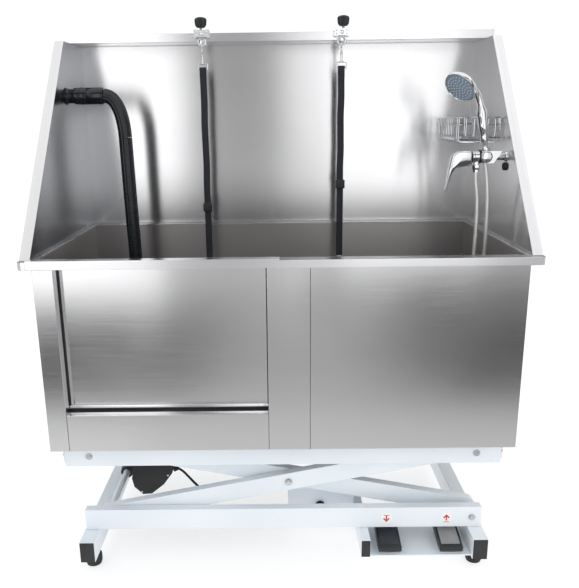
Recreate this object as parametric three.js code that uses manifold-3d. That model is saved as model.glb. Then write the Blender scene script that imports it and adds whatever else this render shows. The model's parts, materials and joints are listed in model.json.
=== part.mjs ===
// Walk-in pet grooming bathtub on an electric scissor lift.
// Millimetres, +X to the user's right, +Y to the back, +Z up, origin on the floor under the centre.
import * as THREE from "three";
import { mergeVertices } from "three/addons/utils/BufferGeometryUtils.js";
import Module from "manifold-3d";

const wasm = await Module();
wasm.setup();

// ---------------------------------------------------------------- driving dimensions
const GAP = 0.3; // running gap kept between neighbouring solids
const SHEET = 2.5; // thickness of the folded stainless sheet

const RIM = { halfX: 635, halfY: 336, top: 862, face: 20, plate: 3, corner: 12 };
const BASIN = { halfX: 597, front: -300, back: 278, floor: 448, wall: 3 };
const SKIN = { halfX: 604, front: -323, back: 323, bottom: 358, flange: 26 };
const DOOR = { left: -553, right: -34, face: -285, thick: 3, foot: 470, head: 845 };
const SILL = { top: 459, lip: 15 };
const GUIDE = { front: -288.5, back: -276.5, depth: 21.5 };
const CAP = { left: -612, right: -3, front: -341, back: -315.5, top: 866, drop: 22 };
const STILE_RIGHT = 72; // right edge of the centre stile

const WING = { inner: 608.5, outer: 635, footY: -314, topY: 130, topZ: 1408.7 };
const SPLASH = { face: 314, lipY: 206, lipZ: 1409, lipRise: 24 };

const RAIL = { front: -281, depth: 25, wall: 3, height: 60 };
const TOP_RAIL = { halfX: 582, bottom: 293 };
const BASE_RAIL = { halfX: 542, bottom: 100 };
const SKID = { x: 526, width: 40, bottom: 40, top: 100, halfY: 342, wall: 3 };
const MIDDLE_SKID = { x: 220.5, width: 25, bottom: 50, back: 256 };
const FOOT = { radius: 22.5, height: 40, y: 286 };

const PIN = { x: 516, baseZ: 129.5, topZ: 322.5, radius: 8 };
const ARM = { height: 50, width: 25, span: 1000, outerY: -254, innerY: -226 };
const ROLLER = { radius: 26, front: -276, back: -260, shaft: 10, bore: 10.4 };

const STRAP = { xs: [-222, 187], y: 195, width: 20, thick: 2.4, bottoms: [766, 768] };
const EYE = { z: 1406.7, radius: 11.5, wire: 2.5 };
const SCREW = { y: 225, shifts: [-5, 7], radius: 4 };
const KNOB = { bottom: 1449, top: 1477, radius: 15.8, lobes: 6, lobeDepth: 1.8 };
const BUCKLE = { top: 1348, bottom: 1331, halfX: 16, wire: 3.5 };

const MIXER = { x: 552, y: -62, z: 1083, radius: 17 };
const BASKET = { x: 485, front: -38, back: 255, bottom: 1118, top: 1186, wall: 3 };
const AIR = { y: 112, z: 1257, hose: 20, cuff: 23.5, bendX: -500, dropX: -447, dropZ: 1140 };
const SHOWER_HOSE = { radius: 5.5, steps: 60, sides: 8 };
const DRAIN = { x: 150, y: 20, radius: 30 };

const ACTUATOR = { slope: 19.83, length: 408.2, tube: 22, rod: 10 };
const CONTROL_BOX = { left: 16, right: 204, front: -190, back: -92, bottom: 70, top: 186 };
const PEDAL = { xs: [288, 453], width: 62, front: -329, back: -226, plate: 48 };

// Routes of the free hoses, from the fitting to the far end.
const AIR_HOSE_ROUTE = [
  [-447, 112, 1139.4], [-446, 112, 1085], [-444, 112, 980], [-441.5, 112, 880],
  [-439.5, 112, 790], [-437, 112, 720], [-430, 111, 655], [-412, 108, 592], [-381, 103, 537],
  [-336, 97, 495], [-282, 90, 473], [-226, 82, 468.6], [-176, 75, 468.4],
];
const SHOWER_HOSE_ROUTE = [
  [529.5, -62, 1041.5], [531.5, -62, 1010], [536.5, -62, 979], [540, -62, 900], [538, -63, 820],
  [534, -66, 745], [524, -74, 662], [506, -88, 585], [476, -103, 522], [432, -112, 478], [386, -103, 459],
  [353, -72, 454.6], [350, -30, 454.4], [374, 2, 454.6], [416, 12, 458], [462, 4, 478],
  [504, -14, 525], [538, -33, 600], [557, -47, 690], [567, -57, 780], [568, -61, 880],
  [565, -62, 980], [557, -62, 1046], [552, -62, 1072], [552, -62, 1099.5],
];
const CABLE_ROUTE = [
  [-323.4, -84, 176], [-312, -85, 178], [-297, -94, 174], [-278, -117, 169], [-258, -150, 169],
  [-240, -184, 173], [-230, -208, 177], [-228.5, -227.6, 178],
];

// ---------------------------------------------------------------- materials
const steel = new THREE.MeshStandardMaterial({ color: 0xb9bbbd, roughness: 0.34, metalness: 1 });
const powder = new THREE.MeshStandardMaterial({ color: 0xe8f0f7, roughness: 0.42, metalness: 0.1 });
const rubber = new THREE.MeshStandardMaterial({ color: 0x17191b, roughness: 0.8, metalness: 0 });
const plastic = new THREE.MeshStandardMaterial({ color: 0x202225, roughness: 0.5, metalness: 0 });
const chrome = new THREE.MeshStandardMaterial({ color: 0xe6e8ea, roughness: 0.08, metalness: 1 });
const webbing = new THREE.MeshStandardMaterial({ color: 0x1d222b, roughness: 0.9, metalness: 0 });
const nylon = new THREE.MeshStandardMaterial({ color: 0xdfe3e4, roughness: 0.5, metalness: 0 });

// ---------------------------------------------------------------- geometry helpers
function box([x0, x1], [y0, y1], [z0, z1]) {
  const g = new THREE.BoxGeometry(x1 - x0, y1 - y0, z1 - z0);
  return g.translate((x0 + x1) / 2, (y0 + y1) / 2, (z0 + z1) / 2);
}

// A round bar between two points on a line along "x", "y" or "z"; radii may differ at the two ends.
function bar(axis, [a, b], [u, v], r0, r1 = r0, sides = 20) {
  const g = new THREE.CylinderGeometry(r1, r0, b - a, sides);
  const middle = (a + b) / 2;
  if (axis === "x") return g.rotateZ(-Math.PI / 2).translate(middle, u, v);
  if (axis === "y") return g.translate(u, middle, v);
  return g.rotateX(Math.PI / 2).translate(u, v, middle);
}

function polygon(points) {
  return new THREE.Shape(points.map(([u, v]) => new THREE.Vector2(u, v)));
}

function roundedRect([u0, u1], [v0, v1], r) {
  const s = new THREE.Shape();
  s.absarc(u1 - r, v1 - r, r, 0, Math.PI / 2);
  s.absarc(u0 + r, v1 - r, r, Math.PI / 2, Math.PI);
  s.absarc(u0 + r, v0 + r, r, Math.PI, 1.5 * Math.PI);
  s.absarc(u1 - r, v0 + r, r, 1.5 * Math.PI, 2 * Math.PI);
  return s;
}

// Extrude an outline drawn in XY up from z0 to z1.
function upright(shape, [z0, z1], curveSegments = 4) {
  const g = new THREE.ExtrudeGeometry(shape, { depth: z1 - z0, bevelEnabled: false, curveSegments });
  return g.translate(0, 0, z0);
}

// Extrude an outline drawn in XZ along Y from y0 to y1.
function alongY(shape, [y0, y1], curveSegments = 8) {
  const g = new THREE.ExtrudeGeometry(shape, { depth: y1 - y0, bevelEnabled: false, curveSegments });
  return g.rotateX(Math.PI / 2).translate(0, y1, 0);
}

// Extrude an outline drawn in YZ along X from x0 to x1.
function alongX(shape, [x0, x1], curveSegments = 8) {
  const g = new THREE.ExtrudeGeometry(shape, { depth: x1 - x0, bevelEnabled: false, curveSegments });
  return g.rotateX(Math.PI / 2).rotateZ(Math.PI / 2).translate(x0, 0, 0);
}

function circle(r, sides) {
  const corners = [];
  for (let i = 0; i < sides; i += 1) {
    const a = (2 * Math.PI * i) / sides;
    corners.push([r * Math.cos(a), r * Math.sin(a)]);
  }
  return polygon(corners);
}

// A round tube, hose or wire along a list of points.
function swept(points, radius, steps, sides = 10, closed = false) {
  const path = new THREE.CatmullRomCurve3(points.map((p) => new THREE.Vector3(...p)), closed);
  return new THREE.ExtrudeGeometry(circle(radius, sides), { steps, extrudePath: path });
}

function solid(geometry) {
  const g = geometry.clone();
  g.deleteAttribute("normal");
  g.deleteAttribute("uv");
  const merged = mergeVertices(g, 1e-3);
  return new wasm.Manifold(
    new wasm.Mesh({
      numProp: 3,
      vertProperties: new Float32Array(merged.attributes.position.array),
      triVerts: new Uint32Array(merged.index.array),
    }),
  );
}

function geometryOf(manifold) {
  const mesh = manifold.getMesh();
  const g = new THREE.BufferGeometry();
  g.setAttribute("position", new THREE.BufferAttribute(mesh.vertProperties, 3));
  g.setIndex(new THREE.BufferAttribute(mesh.triVerts, 1));
  g.computeVertexNormals();
  return g;
}

function join(...pieces) {
  return geometryOf(pieces.map(solid).reduce((sum, piece) => sum.add(piece)));
}

function cut(body, ...tools) {
  return geometryOf(tools.map(solid).reduce((left, tool) => left.subtract(tool), solid(body)));
}

function mirroredX(geometry) {
  return mirrored(geometry, -1, 1);
}

function mirroredY(geometry) {
  return mirrored(geometry, 1, -1);
}

// A mirror image with its faces turned back to point outwards.
function mirrored(geometry, sx, sy) {
  const g = geometry.index ? geometry.toNonIndexed() : geometry.clone();
  g.scale(sx, sy, 1);
  const p = g.attributes.position;
  for (let i = 0; i < p.count; i += 3) {
    const [x, y, z] = [p.getX(i), p.getY(i), p.getZ(i)];
    p.setXYZ(i, p.getX(i + 1), p.getY(i + 1), p.getZ(i + 1));
    p.setXYZ(i + 1, x, y, z);
  }
  g.computeVertexNormals();
  return g;
}

function add(group, name, geometry, material, position = [0, 0, 0]) {
  const mesh = new THREE.Mesh(geometry, material);
  mesh.name = name;
  mesh.position.set(...position);
  group.add(mesh);
}

// ---------------------------------------------------------------- tub shell
function rimFrame() {
  const outer = roundedRect([-RIM.halfX, RIM.halfX], [-RIM.halfY, RIM.halfY], RIM.corner);
  const t = RIM.plate;
  const inside = roundedRect(
    [-RIM.halfX + t, RIM.halfX - t], [-RIM.halfY + t, RIM.halfY - t], RIM.corner - t);
  const top = upright(outer, [RIM.top - RIM.face, RIM.top]);
  const hollow = upright(inside, [RIM.top - RIM.face - 1, RIM.top - t]);
  const opening = box(
    [-BASIN.halfX, BASIN.halfX], [BASIN.front, BASIN.back], [RIM.top - 10, RIM.top + 10]);
  const doorway = box(
    [DOOR.left, DOOR.right], [-RIM.halfY - 5, BASIN.front + 5], [RIM.top - 40, RIM.top + 10]);
  return cut(top, hollow, opening, doorway);
}

// Open-topped inner tub. The doorway is cut down to its floor, where the sill panel's channel takes over.
function basin() {
  const w = BASIN.wall;
  const top = RIM.top - RIM.plate - GAP;
  const shell = box(
    [-BASIN.halfX - w, BASIN.halfX + w], [BASIN.front - w, BASIN.back + w], [BASIN.floor - w, top]);
  const room = box([-BASIN.halfX, BASIN.halfX], [BASIN.front, BASIN.back], [BASIN.floor, top + 10]);
  const doorway = box(
    [DOOR.left - 3, DOOR.right + 3], [BASIN.front - 10, BASIN.front + 10], [BASIN.floor, top + 10]);
  const drain = bar("z", [BASIN.floor - 10, BASIN.floor + 10], [DRAIN.x, DRAIN.y], DRAIN.radius);
  return cut(shell, room, doorway, drain);
}

// A stile's face, its return beside the door and the channel that guides the door, as one folded sheet.
// jamb is the x of the return, away is +1 when the channel runs to +X from it, edge is the far face edge.
function stile(jamb, away, edge) {
  const t = SHEET;
  const top = RIM.top - RIM.plate - GAP;
  const xs = (a, b) => [Math.min(a, b), Math.max(a, b)];
  const inner = jamb + away * t;
  const end = jamb + away * GUIDE.depth;
  return join(
    box(xs(jamb, edge), [SKIN.front, SKIN.front + t], [SKIN.bottom, top]),
    box(xs(jamb, inner), [SKIN.front + 0.5, GUIDE.front + t], [SILL.top - 2, top]),
    box(xs(jamb, end), [GUIDE.front, GUIDE.front + t], [SILL.top - 2, top]),
    box(xs(end - away * t, end), [GUIDE.front, GUIDE.back], [SILL.top - 2, top]),
    box(xs(jamb, end), [GUIDE.back - t, GUIDE.back], [SILL.top - 2, top]));
}

function sillPanel() {
  const t = SHEET;
  const x = [DOOR.left + GAP, DOOR.right - GAP];
  return join(
    box(x, [SKIN.front, SKIN.front + t], [SKIN.bottom, SILL.top]),
    box(x, [SKIN.front, GUIDE.back], [SILL.top - t, SILL.top]),
    box(x, [GUIDE.back - t, GUIDE.back], [SILL.top - t, SILL.top + SILL.lip]),
    box(x, [SKIN.front, SKIN.front + SKIN.flange], [SKIN.bottom, SKIN.bottom + t]));
}

function frontRightPanel() {
  const t = SHEET;
  const x = [STILE_RIGHT + GAP, SKIN.halfX - GAP];
  return join(
    box(x, [SKIN.front, SKIN.front + t], [SKIN.bottom, RIM.top - RIM.plate - GAP]),
    box([x[0], x[1] - t], [SKIN.front, SKIN.front + SKIN.flange], [SKIN.bottom, SKIN.bottom + t]));
}

function sidePanel() {
  const t = SHEET;
  const y = [SKIN.front + t + GAP, SKIN.back - t - GAP];
  const flangeY = [SKIN.front + SKIN.flange + 5, SKIN.back - SKIN.flange - 5];
  return join(
    box([SKIN.halfX - t, SKIN.halfX], y, [SKIN.bottom, RIM.top - RIM.plate - GAP]),
    box([SKIN.halfX - SKIN.flange - 20, SKIN.halfX], flangeY, [SKIN.bottom, SKIN.bottom + t]));
}

function rearPanel() {
  const t = SHEET;
  const x = [-SKIN.halfX + GAP, SKIN.halfX - GAP];
  return join(
    box(x, [SKIN.back - t, SKIN.back], [SKIN.bottom, RIM.top - RIM.plate - GAP]),
    box([x[0] + t, x[1] - t], [SKIN.back - SKIN.flange, SKIN.back], [SKIN.bottom, SKIN.bottom + t]));
}

// The lift-out door: flat panel, a flange forward under the cap, and a folded cap that hangs over the rim.
function doorPanel() {
  const t = DOOR.thick;
  const sheet = SHEET;
  const between = [DOOR.left + 2, DOOR.right - 2];
  const wide = [CAP.left, CAP.right];
  return join(
    box([DOOR.left - 18, DOOR.right + 18], [DOOR.face, DOOR.face + t], [DOOR.foot, DOOR.head]),
    box(between, [CAP.back - sheet, DOOR.face + t], [DOOR.head - t, DOOR.head]),
    box(between, [CAP.back - sheet, CAP.back], [DOOR.head - t, CAP.top]),
    box(wide, [CAP.front, CAP.back], [CAP.top - sheet, CAP.top]),
    box(wide, [CAP.front, CAP.front + sheet], [CAP.top - CAP.drop, CAP.top]));
}

function doorSeal() {
  return box(
    [DOOR.left - 17, DOOR.right + 17], [DOOR.face - 1, DOOR.face + 4.5], [SILL.top + GAP, DOOR.foot - GAP]);
}

// The right-hand splash wing: a flat plate whose slanted front edge and top edge fold outwards.
function wing() {
  const footZ = RIM.top + GAP;
  const back = SPLASH.face - GAP;
  const rise = WING.topZ - footZ;
  const run = WING.topY - WING.footY;
  const slant = Math.hypot(rise, run);
  const shift = (SHEET * slant) / rise;
  const foldTop = WING.topZ - SHEET;
  const foldY = WING.footY + shift + ((foldTop - footZ) * run) / rise;
  const outline = polygon([
    [WING.footY, footZ], [back, footZ], [back, WING.topZ], [WING.topY, WING.topZ]]);
  const inset = polygon([
    [WING.footY + shift - run / rise, footZ - 1], [back + 1, footZ - 1], [back + 1, foldTop],
    [foldY, foldTop]]);
  return cut(
    alongX(outline, [WING.inner, WING.outer]),
    alongX(inset, [WING.inner + SHEET, WING.outer + 1]));
}

// Back splash with its top folded forward into a shallow tray-shaped lip that carries the clamps.
function backSplash() {
  const t = SHEET;
  const back = SPLASH.face + t;
  const lipX = [-RIM.halfX, RIM.halfX];
  const top = SPLASH.lipZ + SPLASH.lipRise;
  return join(
    box([-WING.outer, WING.outer], [SPLASH.face, back], [RIM.top + GAP, SPLASH.lipZ + t]),
    box(lipX, [SPLASH.lipY, back], [SPLASH.lipZ, SPLASH.lipZ + t]),
    box(lipX, [SPLASH.lipY, SPLASH.lipY + t], [SPLASH.lipZ, top]),
    box(lipX, [SPLASH.face, back], [SPLASH.lipZ, top]));
}

function drainStrainer() {
  const cup = bar("z", [BASIN.floor - 20, BASIN.floor + GAP], [0, 0], DRAIN.radius - 4);
  const flange = bar("z", [BASIN.floor + GAP, BASIN.floor + 3], [0, 0], DRAIN.radius + 8);
  const hollow = bar("z", [BASIN.floor - 17, BASIN.floor + 5], [0, 0], DRAIN.radius - 7);
  return cut(join(cup, flange), hollow);
}

// ---------------------------------------------------------------- fittings on the wings
function hoseFitting() {
  const c = [AIR.y, AIR.z];
  const wall = -WING.inner + GAP;
  return join(
    bar("x", [wall, wall + 4], c, AIR.cuff),
    bar("x", [wall, wall + 26], c, AIR.hose),
    bar("x", [wall + 24, wall + 41], c, AIR.cuff - 0.5),
    bar("x", [wall + 41, wall + 46], c, AIR.cuff + 1),
    bar("x", [wall + 46, AIR.bendX - GAP], c, AIR.cuff));
}

// Moulded bend between the cuff and the hanging hose.
function hoseElbow() {
  const { y, z, bendX, dropX, dropZ } = AIR;
  const path = new THREE.CubicBezierCurve3(
    new THREE.Vector3(bendX, y, z),
    new THREE.Vector3(bendX + 30, y, z),
    new THREE.Vector3(dropX - 2, y, dropZ + 75),
    new THREE.Vector3(dropX, y, dropZ));
  return new THREE.ExtrudeGeometry(circle(AIR.hose, 14), { steps: 14, extrudePath: path });
}

// Dryer nozzle on the hose's end, a cone along the hose's last direction.
function hoseNozzle() {
  const last = new THREE.Vector3(...AIR_HOSE_ROUTE.at(-1));
  const along = last.clone().sub(new THREE.Vector3(...AIR_HOSE_ROUTE.at(-2)));
  along.z = 0;
  const turn = Math.atan2(along.y, along.x);
  const cone = cut(
    join(bar("x", [0.6, 30], [0, 0], 19.5), bar("x", [28, 95], [0, 0], 19.5, 13)),
    bar("x", [40, 100], [0, 0], 9));
  return cone.rotateZ(turn).translate(last.x, last.y, last.z);
}

function mixerBody() {
  const { x, y, z, radius } = MIXER;
  const wall = WING.inner - GAP;
  const wedge = polygon([[x + 2, z - 16], [x + 2, z + 14], [x + 40, z + 14], [x + 20, z - 16]]);
  const solidBody = join(
    bar("x", [x - 12, x + 14], [y, z], radius),
    bar("y", [y - 20, y + 18], [x, z], radius - 1),
    alongY(wedge, [y - 15, y + 15]),
    bar("x", [x + 20, wall], [y, z + 3], 10),
    bar("x", [wall - 4, wall], [y, z + 3], 14),
    bar("z", [z - 41, z - 12], [x - 22.5, y], 7),
    bar("x", [x - 30 + GAP, x - 10], [y, z], radius - 1));
  return cut(solidBody, bar("z", [z - 40, z + 40], [x, y], 7));
}

function leverBase() {
  const { x, y, z, radius } = MIXER;
  return bar("x", [x - 36, x - 30], [y, z], radius - 1);
}

// A hood over the cartridge that narrows to a long blade. It tilts about the top edge of its root.
function mixerLever() {
  const { x, y, z } = MIXER;
  const root = x - 36 - GAP;
  const s = new THREE.Shape();
  s.moveTo(root, z - 22);
  s.lineTo(root, z + 15);
  s.bezierCurveTo(root - 30, z + 19, root - 52, z + 16, root - 57, z - 6);
  s.quadraticCurveTo(root - 63, z - 45, root - 68, z - 91);
  s.lineTo(root - 63, z - 92);
  s.quadraticCurveTo(root - 56, z - 45, root - 42, z - 29);
  s.lineTo(root, z - 22);
  return alongY(s, [y - 13, y + 13], 8);
}

function handset() {
  const { x, y, z } = MIXER;
  const handle = swept(
    [[x - 0.5, y, z + 21], [x - 4, y, z + 38], [x - 9.6, y, z + 79], [x - 17.5, y, z + 122],
      [x - 28, y, z + 155], [x - 37, y - 2, z + 168], [x - 60, y - 4, z + 185]],
    11.5, 14, 10);
  const profile = [[0, 0], [42, 0], [44.5, 4], [44.5, 10], [33, 22], [15, 28], [0, 29]];
  const head = new THREE.LatheGeometry(profile.map(([u, v]) => new THREE.Vector2(u, v)), 24);
  head.rotateX(Math.PI / 2); // the spray face now looks along -Z
  head.rotateY(THREE.MathUtils.degToRad(38)).rotateX(THREE.MathUtils.degToRad(-35.5));
  head.translate(x - 83, y - 17, z + 175);
  return join(handle, head);
}

function soapBasket() {
  const w = BASKET.wall;
  const x1 = WING.inner - GAP;
  return cut(
    box([BASKET.x, x1], [BASKET.front, BASKET.back], [BASKET.bottom, BASKET.top]),
    box([BASKET.x + w, x1 - w], [BASKET.front + w, BASKET.back - w], [BASKET.bottom + w, BASKET.top + 10]));
}

// ---------------------------------------------------------------- restraints, drawn about x = 0
function clamp(screwX) {
  const under = SPLASH.lipZ - 0.5;
  const over = SPLASH.lipZ + SPLASH.lipRise + 1;
  const plate = [STRAP.y - 7, SPLASH.lipY - 1];
  const spine = [SPLASH.lipY - 5, SPLASH.lipY - 1];
  const eye = new THREE.TorusGeometry(EYE.radius, EYE.wire, 6, 16).rotateX(Math.PI / 2);
  eye.translate(0, STRAP.y, EYE.z);
  return cut(
    join(
      box([-22, 22], plate, [EYE.z + EYE.radius + 1, over + 6]),
      box([-17, 17], [plate[0], SCREW.y + 14], [over, over + 6]),
      box([-8, 8], spine, [under - 10, over]),
      box([-12, 12], [spine[0], SCREW.y + 12], [under - 10, under]),
      eye),
    bar("z", [over - 5, over + 12], [screwX, SCREW.y], SCREW.radius + 0.6, SCREW.radius + 0.6, 12));
}

// Lobed knob on its clamping screw, whose foot presses on the lip.
function knob(screwX) {
  const s = new THREE.Shape();
  const count = KNOB.lobes * 6;
  for (let i = 0; i <= count; i += 1) {
    const a = (2 * Math.PI * i) / count;
    const r = KNOB.radius + KNOB.lobeDepth * Math.cos(KNOB.lobes * a);
    if (i === 0) s.moveTo(r, 0);
    else s.lineTo(r * Math.cos(a), r * Math.sin(a));
  }
  const foot = SPLASH.lipZ + SHEET + GAP;
  const axis = [screwX, SCREW.y];
  return join(
    upright(s, [KNOB.bottom, KNOB.top]).translate(screwX, SCREW.y, 0),
    bar("z", [foot + 5, KNOB.bottom + 4], axis, SCREW.radius, SCREW.radius, 12),
    bar("z", [foot, foot + 6], axis, 9, 9, 12));
}

// Snap hook: a link through the clamp's eye, a swivel neck and the rectangular strap buckle.
function snapHook() {
  const y = STRAP.y;
  const linkZ = EYE.z - EYE.radius - 8.7;
  const loop = [];
  for (let i = 0; i < 12; i += 1) {
    const a = (2 * Math.PI * i) / 12;
    loop.push([0, y + 6 * Math.sin(a), linkZ + 14 * Math.cos(a)]);
  }
  const wire = BUCKLE.wire;
  const frame = cut(
    box([-BUCKLE.halfX, BUCKLE.halfX], [y - wire / 2, y + wire / 2], [BUCKLE.bottom, BUCKLE.top]),
    box([-BUCKLE.halfX + wire, BUCKLE.halfX - wire], [y - 5, y + 5],
      [BUCKLE.bottom + wire, BUCKLE.top - wire]));
  const link = swept(loop, 2, 14, 6, true);
  const swivel = bar("z", [BUCKLE.top - 1, linkZ - 13], [0, y], 3.5, 3.5, 12);
  return join(link, swivel, frame);
}

function strap(bottom) {
  const { y, width, thick } = STRAP;
  return box([-width / 2, width / 2], [y - thick / 2, y + thick / 2], [bottom, BUCKLE.bottom - 1.2]);
}

// ---------------------------------------------------------------- lift
// A lengthwise channel rail, open towards the inside of the lift.
function rail(halfX, bottom) {
  const { front, depth, wall, height } = RAIL;
  return cut(
    box([-halfX, halfX], [front, front + depth], [bottom, bottom + height]),
    box([-halfX + wall, halfX - wall], [front + wall, front + depth + 1],
      [bottom + wall, bottom + height - wall]));
}

function squareTube([x0, x1], [y0, y1], [z0, z1], wall) {
  return cut(
    box([x0, x1], [y0, y1], [z0, z1]),
    box([x0 + wall, x1 - wall], [y0 - 1, y1 + 1], [z0 + wall, z1 - wall]));
}

// A lift arm with round ends, its pivot stubs and the hole for the roller axle, sloping as at rest.
// rises is +1 when the arm climbs to +X. The pinned end is at +X, the axle end at -X.
function arm(rises, y, pinReach) {
  const slope = Math.atan2(PIN.topZ - PIN.baseZ, ARM.span);
  const length = Math.hypot(PIN.topZ - PIN.baseZ, ARM.span);
  const r = ARM.height / 2;
  const s = new THREE.Shape();
  s.absarc(0, 0, r, -Math.PI / 2, Math.PI / 2);
  s.absarc(-length, 0, r, Math.PI / 2, 1.5 * Math.PI);
  const pinZ = rises > 0 ? PIN.topZ : PIN.baseZ;
  const bore = bar("y", [y - 5, y + ARM.width + 5], [-length, 0], ROLLER.bore, ROLLER.bore, 20);
  const plate = cut(alongY(s, [y, y + ARM.width], 6), bore);
  const pin = bar("y", [pinReach, y + 1], [0, 0], PIN.radius);
  const spacer = bar("y", [y + ARM.width - 1, y + ARM.width + 2.6], [-length / 2, 0], 14);
  const pieces = rises > 0 ? [plate, pin, spacer] : [plate, pin];
  return join(...pieces).rotateY(-rises * slope).translate(PIN.x, 0, pinZ);
}

// An axle across the lift with a roller at each end, about its own axis.
function rollerAxle() {
  const reach = ROLLER.front + 1;
  return join(
    bar("y", [reach, -reach], [0, 0], ROLLER.shaft, ROLLER.shaft, 20),
    bar("y", [ROLLER.front, ROLLER.back], [0, 0], ROLLER.radius),
    bar("y", [-ROLLER.back, -ROLLER.front], [0, 0], ROLLER.radius));
}

// Gear motor housing with the outer tube of the linear actuator, hung on the lower axle by its rear eye.
function actuatorMotor(axleX, axleZ) {
  const housing = polygon([
    [-452, 150], [-446, 122], [-421, 97], [-394, 99], [-356, 130], [-330, 166], [-322, 190],
    [-326, 236], [-392, 236], [-440, 205]]);
  const tube = join(
    bar("x", [-14, 34], [0, 0], 16),
    bar("x", [60, 330], [0, 0], ACTUATOR.tube))
    .rotateY(THREE.MathUtils.degToRad(-ACTUATOR.slope))
    .translate(axleX, 0, axleZ);
  const bore = bar("x", [180, 340], [0, 0], ACTUATOR.rod + 1)
    .rotateY(THREE.MathUtils.degToRad(-ACTUATOR.slope))
    .translate(axleX, 0, axleZ);
  const eye = bar("y", [-16, 16], [axleX, axleZ], 19);
  const eyeBore = bar("y", [-20, 20], [axleX, axleZ], ROLLER.bore + 0.4, ROLLER.bore + 0.4, 20);
  return cut(join(alongY(housing, [-92, 25]), tube, eye), bore, eyeBore);
}

function actuatorRod(axleX, axleZ) {
  const end = ACTUATOR.length;
  return join(
    bar("x", [186, end - 8], [0, 0], ACTUATOR.rod),
    bar("y", [-9, 9], [end, 0], 14))
    .rotateY(THREE.MathUtils.degToRad(-ACTUATOR.slope))
    .translate(axleX, 0, axleZ);
}

// Cross tube between the inner arms with the two ears that the actuator pushes. x, z is the actuator's eye.
// The tube lies beyond the eye, so that the rod never meets it as the lift opens.
function pushTube(x, z) {
  const tubeX = x + 48;
  const tubeZ = z - 29;
  const heading = Math.atan2(tubeZ - z, tubeX - x);
  const ear = new THREE.Shape();
  ear.absarc(tubeX, tubeZ, 14, heading - Math.PI / 2, heading + Math.PI / 2);
  ear.absarc(x, z, 19, heading + Math.PI / 2, heading + 1.5 * Math.PI);
  const reach = -(ARM.innerY + ARM.width) - GAP;
  return join(
    bar("y", [-reach, reach], [tubeX, tubeZ], 16),
    alongY(ear, [-17, -11], 6),
    alongY(ear, [11, 17], 6));
}

function pedal() {
  const { width, front, back, plate } = PEDAL;
  const half = width / 2;
  const tread = polygon([
    [front, plate + 8], [front, plate + 21], [back, plate + 44], [back, plate + 22],
    [front + 30, plate + 8]]);
  return join(
    alongX(tread, [-half, half]),
    bar("x", [-half + 2, half - 2], [back + 2, plate + 22], 7));
}

// Base of the foot switch: a low tray under the tread with two cheeks that hold its pivot.
function pedalPlate() {
  const { front, back, plate, xs, width } = PEDAL;
  const sheet = box(
    [MIDDLE_SKID.x + MIDDLE_SKID.width / 2 + GAP, SKID.x - SKID.width / 2 - GAP],
    [front - 3, back + 30], [plate - 4, plate]);
  const trays = xs.map((x) => box(
    [x - width / 2, x + width / 2], [front + 5, back - 6], [plate - 1, plate + 1.5]));
  return join(sheet, ...trays);
}

// ---------------------------------------------------------------- assembly
const bathtub = new THREE.Group();

function buildTub() {
  const tub = new THREE.Group();
  add(tub, "basin", basin(), steel);
  add(tub, "rim_frame", rimFrame(), steel);
  add(tub, "left_stile", stile(DOOR.left, -1, -SKIN.halfX), steel);
  add(tub, "centre_stile", stile(DOOR.right, 1, STILE_RIGHT), steel);
  add(tub, "sill_panel", sillPanel(), steel);
  add(tub, "front_right_panel", frontRightPanel(), steel);
  add(tub, "side_panel_right", sidePanel(), steel);
  add(tub, "side_panel_left", mirroredX(sidePanel()), steel);
  add(tub, "rear_panel", rearPanel(), steel);
  add(tub, "wing_right", wing(), steel);
  add(tub, "wing_left", mirroredX(wing()), steel);
  add(tub, "back_splash", backSplash(), steel);
  add(tub, "drain_strainer", drainStrainer(), chrome, [DRAIN.x, DRAIN.y, 0]);
  add(tub, "door_panel", doorPanel(), steel);
  add(tub, "door_seal", doorSeal(), rubber);
  bathtub.add(tub);
}

function buildFittings() {
  const fittings = new THREE.Group();
  add(fittings, "hose_fitting", hoseFitting(), plastic);
  add(fittings, "hose_elbow", hoseElbow(), plastic);
  add(fittings, "air_hose", swept(AIR_HOSE_ROUTE, AIR.hose, 28, 10), plastic);
  add(fittings, "hose_nozzle", hoseNozzle(), plastic);
  add(fittings, "mixer_body", mixerBody(), chrome);
  add(fittings, "lever_base", leverBase(), chrome);
  add(fittings, "mixer_lever", mixerLever(), chrome);
  add(fittings, "handset", handset(), chrome);
  const { radius, steps, sides } = SHOWER_HOSE;
  add(fittings, "shower_hose", swept(SHOWER_HOSE_ROUTE, radius, steps, sides), chrome);
  add(fittings, "soap_basket", soapBasket(), chrome);
  bathtub.add(fittings);
}

function buildRestraints() {
  ["left", "right"].forEach((side, i) => {
    const restraint = new THREE.Group();
    restraint.position.x = STRAP.xs[i];
    add(restraint, "clamp_" + side, clamp(SCREW.shifts[i]), chrome);
    add(restraint, "clamp_knob_" + side, knob(SCREW.shifts[i]), plastic);
    add(restraint, "snap_hook_" + side, snapHook(), chrome);
    add(restraint, "strap_" + side, strap(STRAP.bottoms[i]), webbing);
    bathtub.add(restraint);
  });
}

function buildTopFrame() {
  const frame = new THREE.Group();
  const railGeometry = rail(TOP_RAIL.halfX, TOP_RAIL.bottom);
  add(frame, "top_rail_front", railGeometry, powder);
  add(frame, "top_rail_rear", mirroredY(railGeometry), powder);
  const y = RAIL.front + RAIL.depth + GAP;
  const cross = squareTube([557, TOP_RAIL.halfX], [y, -y], [313, SKIN.bottom - GAP], 3);
  add(frame, "top_cross_right", cross, powder);
  add(frame, "top_cross_left", mirroredX(cross), powder);
  bathtub.add(frame);
}

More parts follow.
